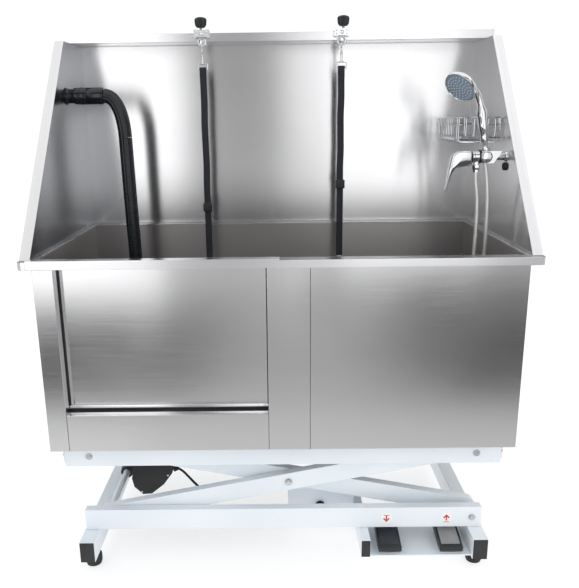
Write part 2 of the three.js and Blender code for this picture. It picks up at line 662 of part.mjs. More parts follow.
function buildArms() {
  const arms = new THREE.Group();
  const pinReach = RAIL.front + RAIL.wall + GAP;
  const outer = arm(1, ARM.outerY, pinReach);
  const inner = arm(-1, ARM.innerY, pinReach);
  add(arms, "outer_arm_front", outer, powder);
  add(arms, "outer_arm_rear", mirroredY(outer), powder);
  add(arms, "inner_arm_front", inner, powder);
  add(arms, "inner_arm_rear", mirroredY(inner), powder);
  const axleX = PIN.x - ARM.span;
  add(arms, "lower_roller_axle", rollerAxle(), nylon, [axleX, 0, PIN.baseZ]);
  add(arms, "upper_roller_axle", rollerAxle(), nylon, [axleX, 0, PIN.topZ]);
  const slope = THREE.MathUtils.degToRad(ACTUATOR.slope);
  const pushX = axleX + ACTUATOR.length * Math.cos(slope);
  const pushZ = PIN.baseZ + ACTUATOR.length * Math.sin(slope);
  add(arms, "actuator_motor", actuatorMotor(axleX, PIN.baseZ), plastic);
  add(arms, "actuator_rod", actuatorRod(axleX, PIN.baseZ), chrome);
  add(arms, "push_tube", pushTube(pushX, pushZ), powder);
  add(arms, "actuator_cable", swept(CABLE_ROUTE, 3.5, 20, 8), rubber);
  bathtub.add(arms);
}

function buildBase() {
  const base = new THREE.Group();
  const half = SKID.width / 2;
  const skid = squareTube([-half, half], [-SKID.halfY, SKID.halfY], [SKID.bottom, SKID.top - GAP], SKID.wall);
  add(base, "skid_left", skid, powder, [-SKID.x, 0, 0]);
  add(base, "skid_right", skid, powder, [SKID.x, 0, 0]);
  const narrow = MIDDLE_SKID.width / 2;
  const middle = squareTube(
    [-narrow, narrow], [-SKID.halfY, MIDDLE_SKID.back], [MIDDLE_SKID.bottom, SKID.top - GAP], SKID.wall);
  add(base, "skid_middle", middle, powder, [MIDDLE_SKID.x, 0, 0]);
  const railGeometry = rail(BASE_RAIL.halfX, BASE_RAIL.bottom);
  add(base, "base_rail_front", railGeometry, powder);
  add(base, "base_rail_rear", mirroredY(railGeometry), powder);
  const corners = { front_left: [-1, -1], front_right: [1, -1], rear_left: [-1, 1], rear_right: [1, 1] };
  const foot = join(
    bar("z", [0, 30], [0, 0], FOOT.radius - 2.5, FOOT.radius),
    bar("z", [30, FOOT.height - GAP], [0, 0], FOOT.radius, FOOT.radius - 4));
  for (const [corner, [sx, sy]] of Object.entries(corners)) {
    add(base, "foot_" + corner, foot, rubber, [sx * SKID.x, sy * FOOT.y, 0]);
  }
  const c = CONTROL_BOX;
  add(base, "control_box", box([c.left, c.right], [c.front, c.back], [c.bottom, c.top]), powder);
  add(base, "pedal_plate", pedalPlate(), powder);
  add(base, "pedal_down", pedal(), rubber, [PEDAL.xs[0], 0, 0]);
  add(base, "pedal_up", pedal(), rubber, [PEDAL.xs[1], 0, 0]);
  bathtub.add(base);
}

buildTub();
buildFittings();
buildRestraints();
buildTopFrame();
buildArms();
buildBase();

export default bathtub;
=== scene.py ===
# Looks for the walk-in pet bathtub on its scissor lift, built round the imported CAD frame.
# Metres, +Z up; turned profiles are in mm.
import json
import math

import bmesh
import bpy
from mathutils import Matrix, Vector

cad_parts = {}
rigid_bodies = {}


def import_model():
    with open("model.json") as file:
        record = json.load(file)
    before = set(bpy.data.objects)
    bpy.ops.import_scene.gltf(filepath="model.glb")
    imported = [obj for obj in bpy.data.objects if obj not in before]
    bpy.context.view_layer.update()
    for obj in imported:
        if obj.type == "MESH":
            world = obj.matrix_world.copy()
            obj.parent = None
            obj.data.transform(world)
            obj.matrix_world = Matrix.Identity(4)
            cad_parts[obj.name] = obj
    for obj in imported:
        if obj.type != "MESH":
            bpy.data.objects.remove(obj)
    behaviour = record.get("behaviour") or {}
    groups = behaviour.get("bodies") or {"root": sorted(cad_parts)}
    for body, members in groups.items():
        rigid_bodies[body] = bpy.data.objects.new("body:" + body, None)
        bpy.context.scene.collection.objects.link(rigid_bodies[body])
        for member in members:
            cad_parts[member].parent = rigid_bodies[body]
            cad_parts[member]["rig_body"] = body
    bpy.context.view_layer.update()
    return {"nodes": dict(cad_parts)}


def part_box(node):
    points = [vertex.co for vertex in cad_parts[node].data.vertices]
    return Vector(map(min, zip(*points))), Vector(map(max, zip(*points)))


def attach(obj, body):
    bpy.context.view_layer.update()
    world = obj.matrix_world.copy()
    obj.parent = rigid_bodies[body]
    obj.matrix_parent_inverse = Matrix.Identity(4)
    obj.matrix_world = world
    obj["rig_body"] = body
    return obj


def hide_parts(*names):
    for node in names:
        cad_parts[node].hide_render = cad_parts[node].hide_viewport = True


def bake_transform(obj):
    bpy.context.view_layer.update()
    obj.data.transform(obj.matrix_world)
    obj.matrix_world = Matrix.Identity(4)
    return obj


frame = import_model()
MM = 0.001
# Heights and faces of the CAD that the details sit on.
SPLASH_LIP = 1.409
MIXER = (0.552, -0.062, 1.083)
WING_FACE = 0.6085
DOOR_FACE = -0.2852
DOOR_BOTTOM = 0.4648
BASIN_UNDERSIDE = 0.4449
LABEL_Z = 0.126
# Round stock.
HOSE_RADIUS = 20 * MM
SHOWER_HOSE_RADIUS = 5.5 * MM
CABLE_RADIUS = 3.5 * MM
HOOK_WIRE = 1.75 * MM
# Camera position, its yaw, pitch and roll in degrees, and how far off the reflection cards stand.
CAMERA_AT = (-0.00694, -1.94746, 1.18769)
CAMERA_TURN = (-0.39, 15.07, -0.72)
STUDIO_REACH = 3.0


def low(node):
    """Lowest corner of a CAD node."""
    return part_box(node)[0]


def high(node):
    """Highest corner of a CAD node."""
    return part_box(node)[1]


# -------------------- camera
def make_camera():
    """Front view from above the rim, aimed slightly down."""
    yaw, pitch, roll = (math.radians(a) for a in CAMERA_TURN)
    ahead = Vector((math.sin(yaw), math.cos(yaw), 0))
    right = Vector((math.cos(yaw), -math.sin(yaw), 0))
    up = Vector((0, 0, 1))
    forward = ahead * math.cos(pitch) - up * math.sin(pitch)
    top = up * math.cos(pitch) + ahead * math.sin(pitch)
    r = right * math.cos(roll) + top * math.sin(roll)
    u = top * math.cos(roll) - right * math.sin(roll)
    data = bpy.data.cameras.new("camera")
    data.sensor_width = 36
    data.lens = 42.09
    data.shift_x = 0.0269
    data.shift_y = 0.0168
    camera = bpy.data.objects.new("camera", data)
    camera.matrix_world = Matrix((
        (r.x, u.x, -forward.x, CAMERA_AT[0]),
        (r.y, u.y, -forward.y, CAMERA_AT[1]),
        (r.z, u.z, -forward.z, CAMERA_AT[2]),
        (0, 0, 0, 1)))
    bpy.context.scene.collection.objects.link(camera)
    bpy.context.scene.camera = camera


# -------------------- mesh helpers
def finished(bm, name, material, body, smooth=35, replaces=()):
    """Turns a bmesh into a piece that rides on a body: smooth shading, sharp past an angle in degrees."""
    bmesh.ops.remove_doubles(bm, verts=bm.verts, dist=1e-6)
    bmesh.ops.recalc_face_normals(bm, faces=bm.faces)
    for face in bm.faces:
        face.smooth = True
    for edge in bm.edges:
        sharp = len(edge.link_faces) != 2 or edge.calc_face_angle(0) > math.radians(smooth)
        edge.smooth = not sharp
    mesh = bpy.data.meshes.new(name)
    bm.to_mesh(mesh)
    bm.free()
    piece = bpy.data.objects.new(name, mesh)
    bpy.context.scene.collection.objects.link(piece)
    mesh.materials.append(material)
    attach(piece, body)
    if replaces:
        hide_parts(*replaces)
    return piece


def flattened(bm):
    """Joins the coplanar triangles of a CAD solid into whole faces."""
    bmesh.ops.remove_doubles(bm, verts=bm.verts, dist=2e-6)
    bmesh.ops.dissolve_limit(
        bm, angle_limit=math.radians(0.6), verts=bm.verts[:], edges=bm.edges[:],
        use_dissolve_boundaries=False, delimit=set())


def rounded_edges(bm, width, segments=2, past=50):
    """Bevels every edge that is sharper than an angle in degrees."""
    edges = [
        e for e in bm.edges
        if len(e.link_faces) == 2 and e.calc_face_angle(0) > math.radians(past)]
    bmesh.ops.bevel(
        bm, geom=edges, offset=width, segments=segments, affect="EDGES", profile=0.5, clamp_overlap=True)


def refined(node, material, width=0.6 * MM, segments=2, past=50):
    """A finer copy of a CAD node with its edges rounded off, in place of it."""
    source = frame["nodes"][node]
    bm = bmesh.new()
    bm.from_mesh(source.data)
    flattened(bm)
    rounded_edges(bm, width, segments, past)
    skin = finished(bm, node + "_skin", material, source["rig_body"], replaces=[node])
    weighted = skin.modifiers.new("even_shading", "WEIGHTED_NORMAL")
    weighted.keep_sharp = True
    weighted.weight = 100
    return skin


def add_box(bm, lo, hi):
    """Adds a box between two corners."""
    size = Vector(hi) - Vector(lo)
    middle = (Vector(hi) + Vector(lo)) / 2
    bmesh.ops.create_cube(bm, size=1, matrix=Matrix.Translation(middle) @ Matrix.Diagonal((*size, 1)))


def add_lathe(bm, profile, matrix, steps=32):
    """Turns a profile of (radius, height) in mm round the local Z axis; ends on the axis close it."""
    rings = []
    for radius, height in profile:
        around = turns(steps) if radius else [0]
        points = (Vector((radius * math.cos(a), radius * math.sin(a), height)) * MM for a in around)
        rings.append([bm.verts.new(matrix @ point) for point in points])
    for a, b in zip(rings, rings[1:]):
        join_rings(bm, a, b)


def turns(count):
    """Angles at equal steps round a full turn."""
    return [math.tau * i / count for i in range(count)]


def join_rings(bm, a, b):
    """Faces between two closed rings, either of which may be a single point."""
    n = max(len(a), len(b))
    if len(a) == len(b) == 1:
        return
    for i in range(n):
        j = (i + 1) % n
        if len(a) == 1:
            bm.faces.new((a[0], b[j], b[i]))
        elif len(b) == 1:
            bm.faces.new((a[i], a[j], b[0]))
        else:
            bm.faces.new((a[i], a[j], b[j], b[i]))


def join_all(bm, rings):
    """Skins a row of closed rings and closes both ends."""
    for a, b in zip(rings, rings[1:]):
        join_rings(bm, a, b)
    bm.faces.new(rings[0][::-1])
    bm.faces.new(rings[-1])


def smooth_path(points, step):
    """Catmull-Rom curve through the points, resampled at equal steps."""
    pts = [Vector(p) for p in points]
    pts = [2 * pts[0] - pts[1]] + pts + [2 * pts[-1] - pts[-2]]
    fine = []
    for i in range(1, len(pts) - 2):
        for k in range(16):
            fine.append(catmull(pts[i - 1], pts[i], pts[i + 1], pts[i + 2], k / 16))
    fine.append(pts[-2])
    return resampled(fine, step)


def catmull(p0, p1, p2, p3, t):
    """Point between p1 and p2 on a curve through all four."""
    return 0.5 * (
        2 * p1 + (p2 - p0) * t + (2 * p0 - 5 * p1 + 4 * p2 - p3) * t * t
        + (3 * p1 - p0 - 3 * p2 + p3) * t * t * t)


def resampled(points, step):
    """Points at equal distances along a polyline."""
    lengths = [0.0]
    for a, b in zip(points, points[1:]):
        lengths.append(lengths[-1] + (b - a).length)
    count = max(2, math.ceil(lengths[-1] / step))
    out = []
    k = 0
    for i in range(count + 1):
        at = lengths[-1] * i / count
        while k < len(points) - 2 and lengths[k + 1] < at:
            k += 1
        span = max(lengths[k + 1] - lengths[k], 1e-9)
        out.append(points[k].lerp(points[k + 1], (at - lengths[k]) / span))
    return out


def frames_along(path, closed=False):
    """A (side, up) pair across the path at each point, turning as little as possible."""
    n = len(path)
    tangents = []
    for i in range(n):
        a = path[(i - 1) % n] if closed else path[max(i - 1, 0)]
        b = path[(i + 1) % n] if closed else path[min(i + 1, n - 1)]
        tangents.append((b - a).normalized())
    first = Vector((0, 1, 0)) if abs(tangents[0].y) < 0.9 else Vector((1, 0, 0))
    side = tangents[0].cross(first).normalized()
    frames = []
    for t in tangents:
        side = (side - t * side.dot(t)).normalized()
        frames.append((side, t.cross(side)))
    return frames


def add_sweep(bm, path, radius, sides=12, closed=False, outline=None):
    """Sweeps a circle, or an outline of (u, v) points, along a path.

    radius may be a function of (index, angle).
    """
    frames = frames_along(path, closed)
    rings = []
    for i, (p, (side, up)) in enumerate(zip(path, frames)):
        ring = []
        for k in range(sides if outline is None else len(outline)):
            if outline is None:
                a = math.tau * k / sides
                r = radius(i, a) if callable(radius) else radius
                u, v = r * math.cos(a), r * math.sin(a)
            else:
                u, v = outline[k]
            ring.append(bm.verts.new(p + side * u + up * v))
        rings.append(ring)
    if not closed:
        join_all(bm, rings)
        return
    for a, b in zip(rings, rings[1:] + rings[:1]):
        join_rings(bm, a, b)


def turned_to(direction, at):
    """Matrix that puts local Z along a direction at a point."""
    turn = Vector(direction).to_track_quat("Z", "Y").to_matrix().to_4x4()
    return Matrix.Translation(Vector(at)) @ turn


def lathe_piece(name, profile, at, direction, material, body, steps=32, smooth=35, replaces=()):
    """A turned piece: a profile in mm round a direction from a point."""
    bm = bmesh.new()
    add_lathe(bm, profile, turned_to(direction, at), steps)
    return finished(bm, name, material, body, smooth, replaces)


def box_piece(name, lo, hi, material, body, width=1 * MM, segments=2, replaces=()):
    """A box with rounded edges as a piece of its own."""
    bm = bmesh.new()
    add_box(bm, lo, hi)
    rounded_edges(bm, width, segments)
    return finished(bm, name, material, body, replaces=replaces)


# -------------------- materials
class Nodes:
    """Short hand for building one material's node tree."""

    def __init__(self, name):
        self.material = bpy.data.materials.new(name)
        self.material.use_nodes = True
        self.tree = self.material.node_tree
        self.shader = self.tree.nodes["Principled BSDF"]

    def add(self, kind, **values):
        node = self.tree.nodes.new(kind)
        for key, value in values.items():
            if hasattr(node, key):
                setattr(node, key, value)
            else:
                node.inputs[key].default_value = value
        return node

    def link(self, source, target):
        self.tree.links.new(source, target)

    def put(self, **values):
        for key, value in values.items():
            self.shader.inputs[key.replace("_", " ")].default_value = value

    def noise(self, scale, detail=4.0, stretch=(1, 1, 1)):
        """Noise in the row frame, stretched by scaling each axis."""
        where = self.add("ShaderNodeTexCoord")
        mapping = self.add("ShaderNodeMapping")
        mapping.inputs["Scale"].default_value = stretch
        self.link(where.outputs["Object"], mapping.inputs["Vector"])
        texture = self.add("ShaderNodeTexNoise", Scale=scale, Detail=detail)
        self.link(mapping.outputs["Vector"], texture.inputs["Vector"])
        return texture.outputs["Fac"]

    def ranged(self, value, low_out, high_out, low_in=0.3, high_in=0.7):
        node = self.add("ShaderNodeMapRange")
        ends = {"From Min": low_in, "From Max": high_in, "To Min": low_out, "To Max": high_out}
        for key, number in ends.items():
            node.inputs[key].default_value = number
        self.link(value, node.inputs["Value"])
        return node.outputs["Result"]

    def blended(self, value, first, second):
        """Colour between two colours, by a value from 0 to 1."""
        mix = self.add("ShaderNodeMix", data_type="RGBA")
        self.link(value, mix.inputs["Factor"])
        for socket, colour in zip(("A", "B"), (first, second)):
            target = [s for s in mix.inputs if s.name == socket and s.type == "RGBA"][0]
            if isinstance(colour, tuple):
                target.default_value = (*colour, 1)
            else:
                self.link(colour, target)
        return [s for s in mix.outputs if s.type == "RGBA"][0]

    def bump(self, value, strength, distance):
        node = self.add("ShaderNodeBump", Strength=strength, Distance=distance)
        self.link(value, node.inputs["Height"])
        self.link(node.outputs["Normal"], self.shader.inputs["Normal"])
        return node


def brushed_steel(name, colour, rough=0.21, grain=1.0):
    """Satin stainless: horizontal brushing that smears reflections upright, with faint handling marks."""
    n = Nodes(name)
    upright = n.noise(6.0, 3, (1.0, 1.0, 300))
    level = n.noise(6.0, 3, (1.0, 300, 1.0))
    geometry = n.add("ShaderNodeNewGeometry")
    split = n.add("ShaderNodeSeparateXYZ")
    n.link(geometry.outputs["Normal"], split.inputs[0])
    facing_up = n.add("ShaderNodeMath", operation="ABSOLUTE")
    n.link(split.outputs["Z"], facing_up.inputs[0])
    lines = n.add("ShaderNodeMix")
    n.link(facing_up.outputs[0], lines.inputs["Factor"])
    n.link(upright, lines.inputs["A"])
    n.link(level, lines.inputs["B"])
    streaks = lines.outputs["Result"]
    smudges = n.noise(2.2, 5)
    dark = tuple(c * 0.985 for c in colour)
    pale = tuple(c * 1.015 for c in colour)
    n.link(n.blended(n.ranged(streaks, 0, 1), dark, pale), n.shader.inputs["Base Color"])
    rough_lines = n.ranged(streaks, rough - 0.02 * grain, rough + 0.02 * grain)
    rough_spots = n.ranged(smudges, -0.02, 0.03)
    total = n.add("ShaderNodeMath", operation="ADD")
    n.link(rough_lines, total.inputs[0])
    n.link(rough_spots, total.inputs[1])
    n.link(total.outputs[0], n.shader.inputs["Roughness"])
    tangent = n.add("ShaderNodeTangent", direction_type="RADIAL", axis="Z")
    n.link(tangent.outputs[0], n.shader.inputs["Tangent"])
    n.put(Metallic=1, Anisotropic=0.85, Anisotropic_Rotation=0.25)
    n.bump(streaks, 0.008 * grain, 0.0002)
    return n.material


def powder_coat():
    """Pale blue-white powder coat with a fine orange peel."""
    n = Nodes("powder_coat")
    mottled = n.ranged(n.noise(3.0, 4), 0, 1)
    n.link(n.blended(mottled, (0.76, 0.82, 0.88), (0.84, 0.89, 0.93)), n.shader.inputs["Base Color"])
    n.link(n.ranged(n.noise(40, 3), 0.30, 0.42), n.shader.inputs["Roughness"])
    n.put(Coat_Weight=0.25, Coat_Roughness=0.2)
    n.bump(n.noise(420, 2), 0.12, 0.0003)
    return n.material


def moulded(name, colour, rough, grain_scale=900, strength=0.25, spread=0.3):
    """Rubber or plastic with a fine moulded grain and a little dust-like variation."""
    n = Nodes(name)
    dark = tuple(c * (1 - spread) for c in colour)
    pale = tuple(c * (1 + spread) for c in colour)
    n.link(n.blended(n.ranged(n.noise(14, 5), 0, 1), dark, pale), n.shader.inputs["Base Color"])
    n.link(n.ranged(n.noise(60, 4), rough - 0.06, rough + 0.08), n.shader.inputs["Roughness"])
    n.bump(n.noise(grain_scale, 2), strength, 0.0003)
    return n.material


def polished(name, colour=(0.80, 0.81, 0.83), rough=0.07):
    """Chrome or zinc plate with faint water marks."""
    n = Nodes(name)
    n.put(Base_Color=(*colour, 1), Metallic=1)
    n.link(n.ranged(n.noise(35, 5), rough * 0.6, rough * 1.7), n.shader.inputs["Roughness"])
    n.bump(n.noise(160, 2), 0.02, 0.0002)
    return n.material


def woven_webbing():
    """Narrow nylon webbing: twill ribs across the width, a rolled edge and a soft sheen."""
    n = Nodes("webbing")
    where = n.add("ShaderNodeTexCoord")
    weave = n.add("ShaderNodeMath", operation="MULTIPLY")
    for k, (way, scale, distortion) in enumerate((("DIAGONAL", 260, 0.4), ("X", 420, 0.3))):
        bands = n.add("ShaderNodeTexWave", wave_type="BANDS", bands_direction=way)
        bands.inputs["Scale"].default_value = scale
        bands.inputs["Distortion"].default_value = distortion
        n.link(where.outputs["Object"], bands.inputs["Vector"])
        n.link(bands.outputs["Fac"], weave.inputs[k])
    n.link(
        n.blended(weave.outputs[0], (0.008, 0.009, 0.014), (0.035, 0.042, 0.062)),
        n.shader.inputs["Base Color"])
    n.put(Roughness=0.78, Sheen_Weight=0.35, Sheen_Roughness=0.4)
    n.bump(weave.outputs[0], 0.6, 0.0004)
    return n.material


def plain(name, colour, rough, metallic=0.0, scale=220, strength=0.1):
    """Paint, paper or nylon: a colour with slight mottling and a fine surface."""
    n = Nodes(name)
    dark = tuple(c * 0.94 for c in colour)
    n.link(n.blended(n.ranged(n.noise(30, 4), 0, 1), dark, colour), n.shader.inputs["Base Color"])
    n.put(Roughness=rough, Metallic=metallic)
    n.bump(n.noise(scale, 2), strength, 0.0002)
    return n.material


STEEL = brushed_steel("brushed_steel", (0.79, 0.79, 0.80))
STEEL_FRONT = brushed_steel("front_steel", (0.79, 0.79, 0.80), 0.15)
# Darker copy of the brushed steel: painted shade on the left wing's inner face and on the rim's top faces.
STEEL_PAINTED_SHADE = brushed_steel("steel_painted_shade", (0.29, 0.30, 0.315), 0.24)
# Darker, rougher copy of the steel for the basin: its darkness is painted shade inside the basin.
STEEL_BASIN_PAINTED_SHADE = brushed_steel("basin_steel_painted_shade", (0.45, 0.435, 0.43), 0.36)
# Lighter copy of the brushed steel: painted highlight on the folded front edges, the door hem and the
# retaining angles.
STEEL_PAINTED_HIGHLIGHT = brushed_steel("steel_painted_highlight", (0.88, 0.88, 0.90), 0.24, 0.7)
SEAM = plain("seam_shadow", (0.16, 0.16, 0.165), 0.5, 0.6)
POWDER = powder_coat()
RUBBER = moulded("rubber", (0.016, 0.016, 0.018), 0.7)
PLASTIC = moulded("black_plastic", (0.012, 0.014, 0.016), 0.38, 600, 0.12)
CHROME = polished("chrome")
ZINC = polished("zinc_plate", (0.62, 0.63, 0.66), 0.2)
WEBBING = woven_webbing()
NYLON = plain("nylon", (0.70, 0.71, 0.70), 0.45)
PAPER = plain("sticker_white", (0.96, 0.96, 0.95), 0.4)
RED = plain("sticker_red", (0.62, 0.03, 0.03), 0.4)
SPRAY_FACE = plain("spray_face", (0.24, 0.31, 0.39), 0.35)
PALE_DOT = plain("spray_nozzle", (0.62, 0.66, 0.72), 0.4)
GREY_PAD = moulded("grey_pad", (0.30, 0.305, 0.31), 0.75, 1400, 0.4, 0.15)
HOSE = moulded("ribbed_hose", (0.011, 0.014, 0.019), 0.30, 700, 0.08)
CUFF = moulded("smooth_cuff", (0.010, 0.013, 0.019), 0.13, 300, 0.03)
CAP = moulded("end_cap", (0.022, 0.023, 0.026), 0.6, 1100, 0.3)
MOTOR = moulded("motor_housing", (0.006, 0.006, 0.007), 0.35, 800, 0.2)
DARK_PAD = moulded("dark_pad", (0.030, 0.033, 0.040), 0.6, 1400, 0.4)
# Spiral hose armour: a pale half-metal whose whiteness is painted sheen standing in for the bright
# reflections of the chrome.
ARMOUR_PAINTED_SHEEN = plain("hose_armour_painted_sheen", (0.90, 0.89, 0.88), 0.26, 0.6)
NICKEL = plain("nickel_plate", (0.88, 0.89, 0.90), 0.18, 0.7)
THREAD = plain("stitching_thread", (0.10, 0.11, 0.14), 0.8)


# -------------------- skins of the CAD
SHEET_NODES = (
    "left_stile", "centre_stile", "sill_panel", "front_right_panel", "side_panel_left",
    "side_panel_right", "rear_panel")
FRAME_NODES = (
    "top_rail_front", "top_rail_rear", "top_cross_left", "top_cross_right", "base_rail_front",
    "base_rail_rear", "skid_left", "skid_right", "skid_middle")
ARM_NODES = ("outer_arm_front", "outer_arm_rear", "inner_arm_front", "inner_arm_rear", "push_tube")


def make_skins():
    """Finer copies of the sheet metal, the frames and the arms, with painted shade and painted highlight on
    some faces of the steel.
    """
    for node in SHEET_NODES:
        refined(node, STEEL_FRONT, 1.2 * MM, 3)
    wing = refined("wing_left", STEEL, 0.7 * MM)
    # Painted shade: the left wing's inner face gets the darker copy of the steel.
    paint_light_on_faces(wing, STEEL_PAINTED_SHADE, lambda face: face.normal.x > 0.5)
    # Painted highlight: the folded edges that face the front get the lighter copy of the steel.
    paint_light_on_faces(refined("wing_right", STEEL, 0.7 * MM), STEEL_PAINTED_HIGHLIGHT, painted_highlight_edges(1))
    paint_light_on_faces(refined("back_splash", STEEL, 0.7 * MM), STEEL_PAINTED_HIGHLIGHT, painted_highlight_edges(0.25))
    rim = refined("rim_frame", STEEL, 0.7 * MM)
    paint_light_on_faces(rim, STEEL_PAINTED_HIGHLIGHT, painted_highlight_edges(-0.3))
    # Painted shade: the rim's top faces get the darker copy of the steel.
    paint_light_on_faces(rim, STEEL_PAINTED_SHADE, lambda face: face.normal.z > 0.8)
    paint_light_on_faces(refined("door_panel", STEEL_FRONT, 0.7 * MM), STEEL_PAINTED_HIGHLIGHT, painted_highlight_edges(-0.3))
    # The basin takes the darker copy of the steel as painted shade.
    refined("basin", STEEL_BASIN_PAINTED_SHADE, 1 * MM, 3)
    for node in FRAME_NODES:
        refined(node, POWDER, 1.3 * MM, 3)
    for node in ARM_NODES:
        refined(node, POWDER, 3 * MM, 3)
    refined("pedal_plate", POWDER, 0.8 * MM)


def paint_light_on_faces(skin, material, chosen):
    """Gives the faces that pass a test a material of their own: a darker or lighter copy of the steel as
    painted shade or painted highlight.
    """
    index = len(skin.data.materials)
    skin.data.materials.append(material)
    for face in skin.data.polygons:
        if chosen(face):
            face.material_index = index


def painted_highlight_edges(behind):
    """Test for the folded edges that face the front, up to a depth in Y; these faces get the painted
    highlight.
    """
    return lambda face: face.normal.y < -0.2 and face.center.y < behind


# -------------------- cords and hoses
def centreline(node, key, reach=1.5 * MM):
    """Ring centres of a swept CAD tube, from the end whose vertices have the highest key."""
    bm = bmesh.new()
    bm.from_mesh(frame["nodes"][node].data)
    bmesh.ops.remove_doubles(bm, verts=bm.verts, dist=1e-6)
    top = max(key(v.co) for v in bm.verts)
    layer = {v for v in bm.verts if key(v.co) > top - reach}
    seen = set(layer)
    centres = []
    while layer:
        centres.append(sum((v.co for v in layer), Vector()) / len(layer))
        layer = {e.other_vert(v) for v in layer for e in v.link_edges} - seen
        seen |= layer
    bm.free()
    return centres


def ribbed(radius, ribs, depth, pitch_steps, ring_depth):
    """Radius of a hose with lengthwise ribs and fine rings."""
    def at(i, angle):
        lengthwise = depth * (0.5 - 0.5 * math.cos(ribs * angle))
        across = ring_depth * (0.5 - 0.5 * math.cos(math.tau * i / pitch_steps))
        return radius - lengthwise - across
    return at


def make_air_hose():
    """Dryer hose hanging from the elbow into the basin, with its nozzle lying on the basin floor."""
    path = smooth_path(centreline("air_hose", lambda p: p.z), 1.6 * MM)
    bm = bmesh.new()
    add_sweep(bm, path, ribbed(HOSE_RADIUS, 12, 1.6 * MM, 4, 0.5 * MM), 60)
    hose = finished(bm, "air_hose_skin", HOSE, "tub", smooth=60, replaces=["air_hose"])
    nozzle = make_nozzle(path[-1])


def make_nozzle(start):
    """Tapered dryer nozzle with a screwed collar."""
    centre = (low("hose_nozzle") + high("hose_nozzle")) / 2
    along = Vector((centre.x - start.x, centre.y - start.y, 0)).normalized()
    profile = [
        (0, 0.6), (17, 0.6), (19.5, 2), (19.5, 6), (18.6, 7), (18.6, 11), (19.5, 12), (19.5, 27),
        (18.4, 30), (13.4, 90), (12.6, 94.5), (10.5, 95), (9.6, 93), (9.4, 42), (0, 41)]
    return lathe_piece(
        "hose_nozzle_skin", profile, start, along, PLASTIC, "tub", 48,
        replaces=["hose_nozzle"])


def make_shower_hose():
    """Spiral-armoured hose from the mixer, in a loop on the basin floor and back up to the handset."""
    path = smooth_path(centreline("shower_hose", lambda p: p.z), 1.1 * MM)
    path.reverse()

    def armour(i, angle):
        return SHOWER_HOSE_RADIUS - 0.55 * MM * abs(math.sin(math.pi * i / 4 + angle / 2))

    bm = bmesh.new()
    add_sweep(bm, path, armour, 14)
    hose = finished(bm, "shower_hose_skin", ARMOUR_PAINTED_SHEEN, "tub", smooth=60, replaces=["shower_hose"])
    hose.parent = None
    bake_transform(hose)


def make_actuator_cable():
    """Motor cable from the actuator to the outer arm."""
    path = smooth_path(centreline("actuator_cable", lambda p: -p.x), 2 * MM)
    bm = bmesh.new()
    add_sweep(bm, path, CABLE_RADIUS, 16)
    cable = finished(
        bm, "actuator_cable_skin", RUBBER, "outer_arms", replaces=["actuator_cable"])
    cable.parent = None
    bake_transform(cable)
    gland = [(0, -2), (7.5, -2), (7.5, 3), (6.5, 4), (6.5, 9), (4, 12), (3.4, 14), (0, 14)]
    lathe_piece("cable_gland", gland, path[0], path[4] - path[0], RUBBER, "actuator", 24)


# -------------------- air fitting
def make_air_fitting():
    """Flanged fitting on the wing, the ribbed elbow above the basin and the spigot outside."""
    lo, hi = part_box("hose_fitting")
    y, z = (lo.y + hi.y) / 2, (lo.z + hi.z) / 2
    flange = [(0, 0.3), (23.5, 0.3), (23.5, 2.6), (22, 3.8), (20.4, 4.2)]
    stub = [(19.6, 6), (19.6, 22), (20.2, 23.4)]
    collar = [(22.4, 24.4), (22.8, 26), (22.8, 38), (22.2, 39), (22.2, 40)]
    ring = [(24, 41.2), (24.5, 42.4), (24.5, 44), (24, 45.2)]
    cuff = [
        (23.4, 46), (23.4, 59), (22.8, 60), (23.4, 61), (23.5, 100), (23.3, 105.5), (22.4, 107.4),
        (20.4, 107.9), (0, 107.9)]
    lathe_piece(
        "hose_fitting_skin", flange + stub + collar + ring + cuff, (lo.x, y, z), (1, 0, 0), CUFF, "tub",
        56, replaces=["hose_fitting"])
    path = smooth_path(centreline("hose_elbow", lambda p: -p.x), 1.6 * MM)
    bm = bmesh.new()
    add_sweep(bm, path, ribbed(HOSE_RADIUS, 12, 1.6 * MM, 4, 0.5 * MM), 60)
    finished(bm, "hose_elbow_skin", HOSE, "tub", smooth=60, replaces=["hose_elbow"])
    spigot = [
        (0, 0), (24, 0), (24, 3), (19, 4), (19, 20), (20, 22), (19, 25), (17, 26), (16, 12), (0, 12)]
    outside = -WING_FACE - 2.8 * MM
    lathe_piece("air_spigot", spigot, (outside, y, z), (-1, 0, 0), CUFF, "tub", 40)


def bezier(a, b, c, t):
    """Point on a quadratic curve."""
    return a * (1 - t) ** 2 + b * 2 * t * (1 - t) + c * t * t


# -------------------- fasteners
def pan_screw(name, at, direction, body, r=3.5):
    """Domed screw head of a radius in mm, with a pit that hints at its recess."""
    profile = [
        (0, -0.2 * r), (r, -0.2 * r), (r, 0.15 * r), (0.8 * r, 0.5 * r), (0.3 * r, 0.62 * r),
        (0.22 * r, 0.3 * r), (0, 0.3 * r)]
    return lathe_piece(name, profile, at, direction, ZINC, body, 20)


def bolt(name, at, direction, body, r=7):
    """Hexagon bolt head of a radius in mm, on a washer."""
    bm = bmesh.new()
    matrix = turned_to(direction, at)
    base = 1.2
    washer = [(0, 0), (1.35 * r, 0), (1.4 * r, 0.4), (1.35 * r, base), (0, base)]
    head = [(0, base), (r, base), (r, base + 0.5 * r), (0.9 * r, base + 0.62 * r), (0, base + 0.62 * r)]
    face = [(0.6 * r, base + 0.6 * r), (0.56 * r, base + 0.7 * r), (0, base + 0.7 * r)]
    for profile, steps in ((washer, 28), (head, 6), (face, 24)):
        add_lathe(bm, profile, matrix, steps)
    return finished(bm, name, ZINC, body)


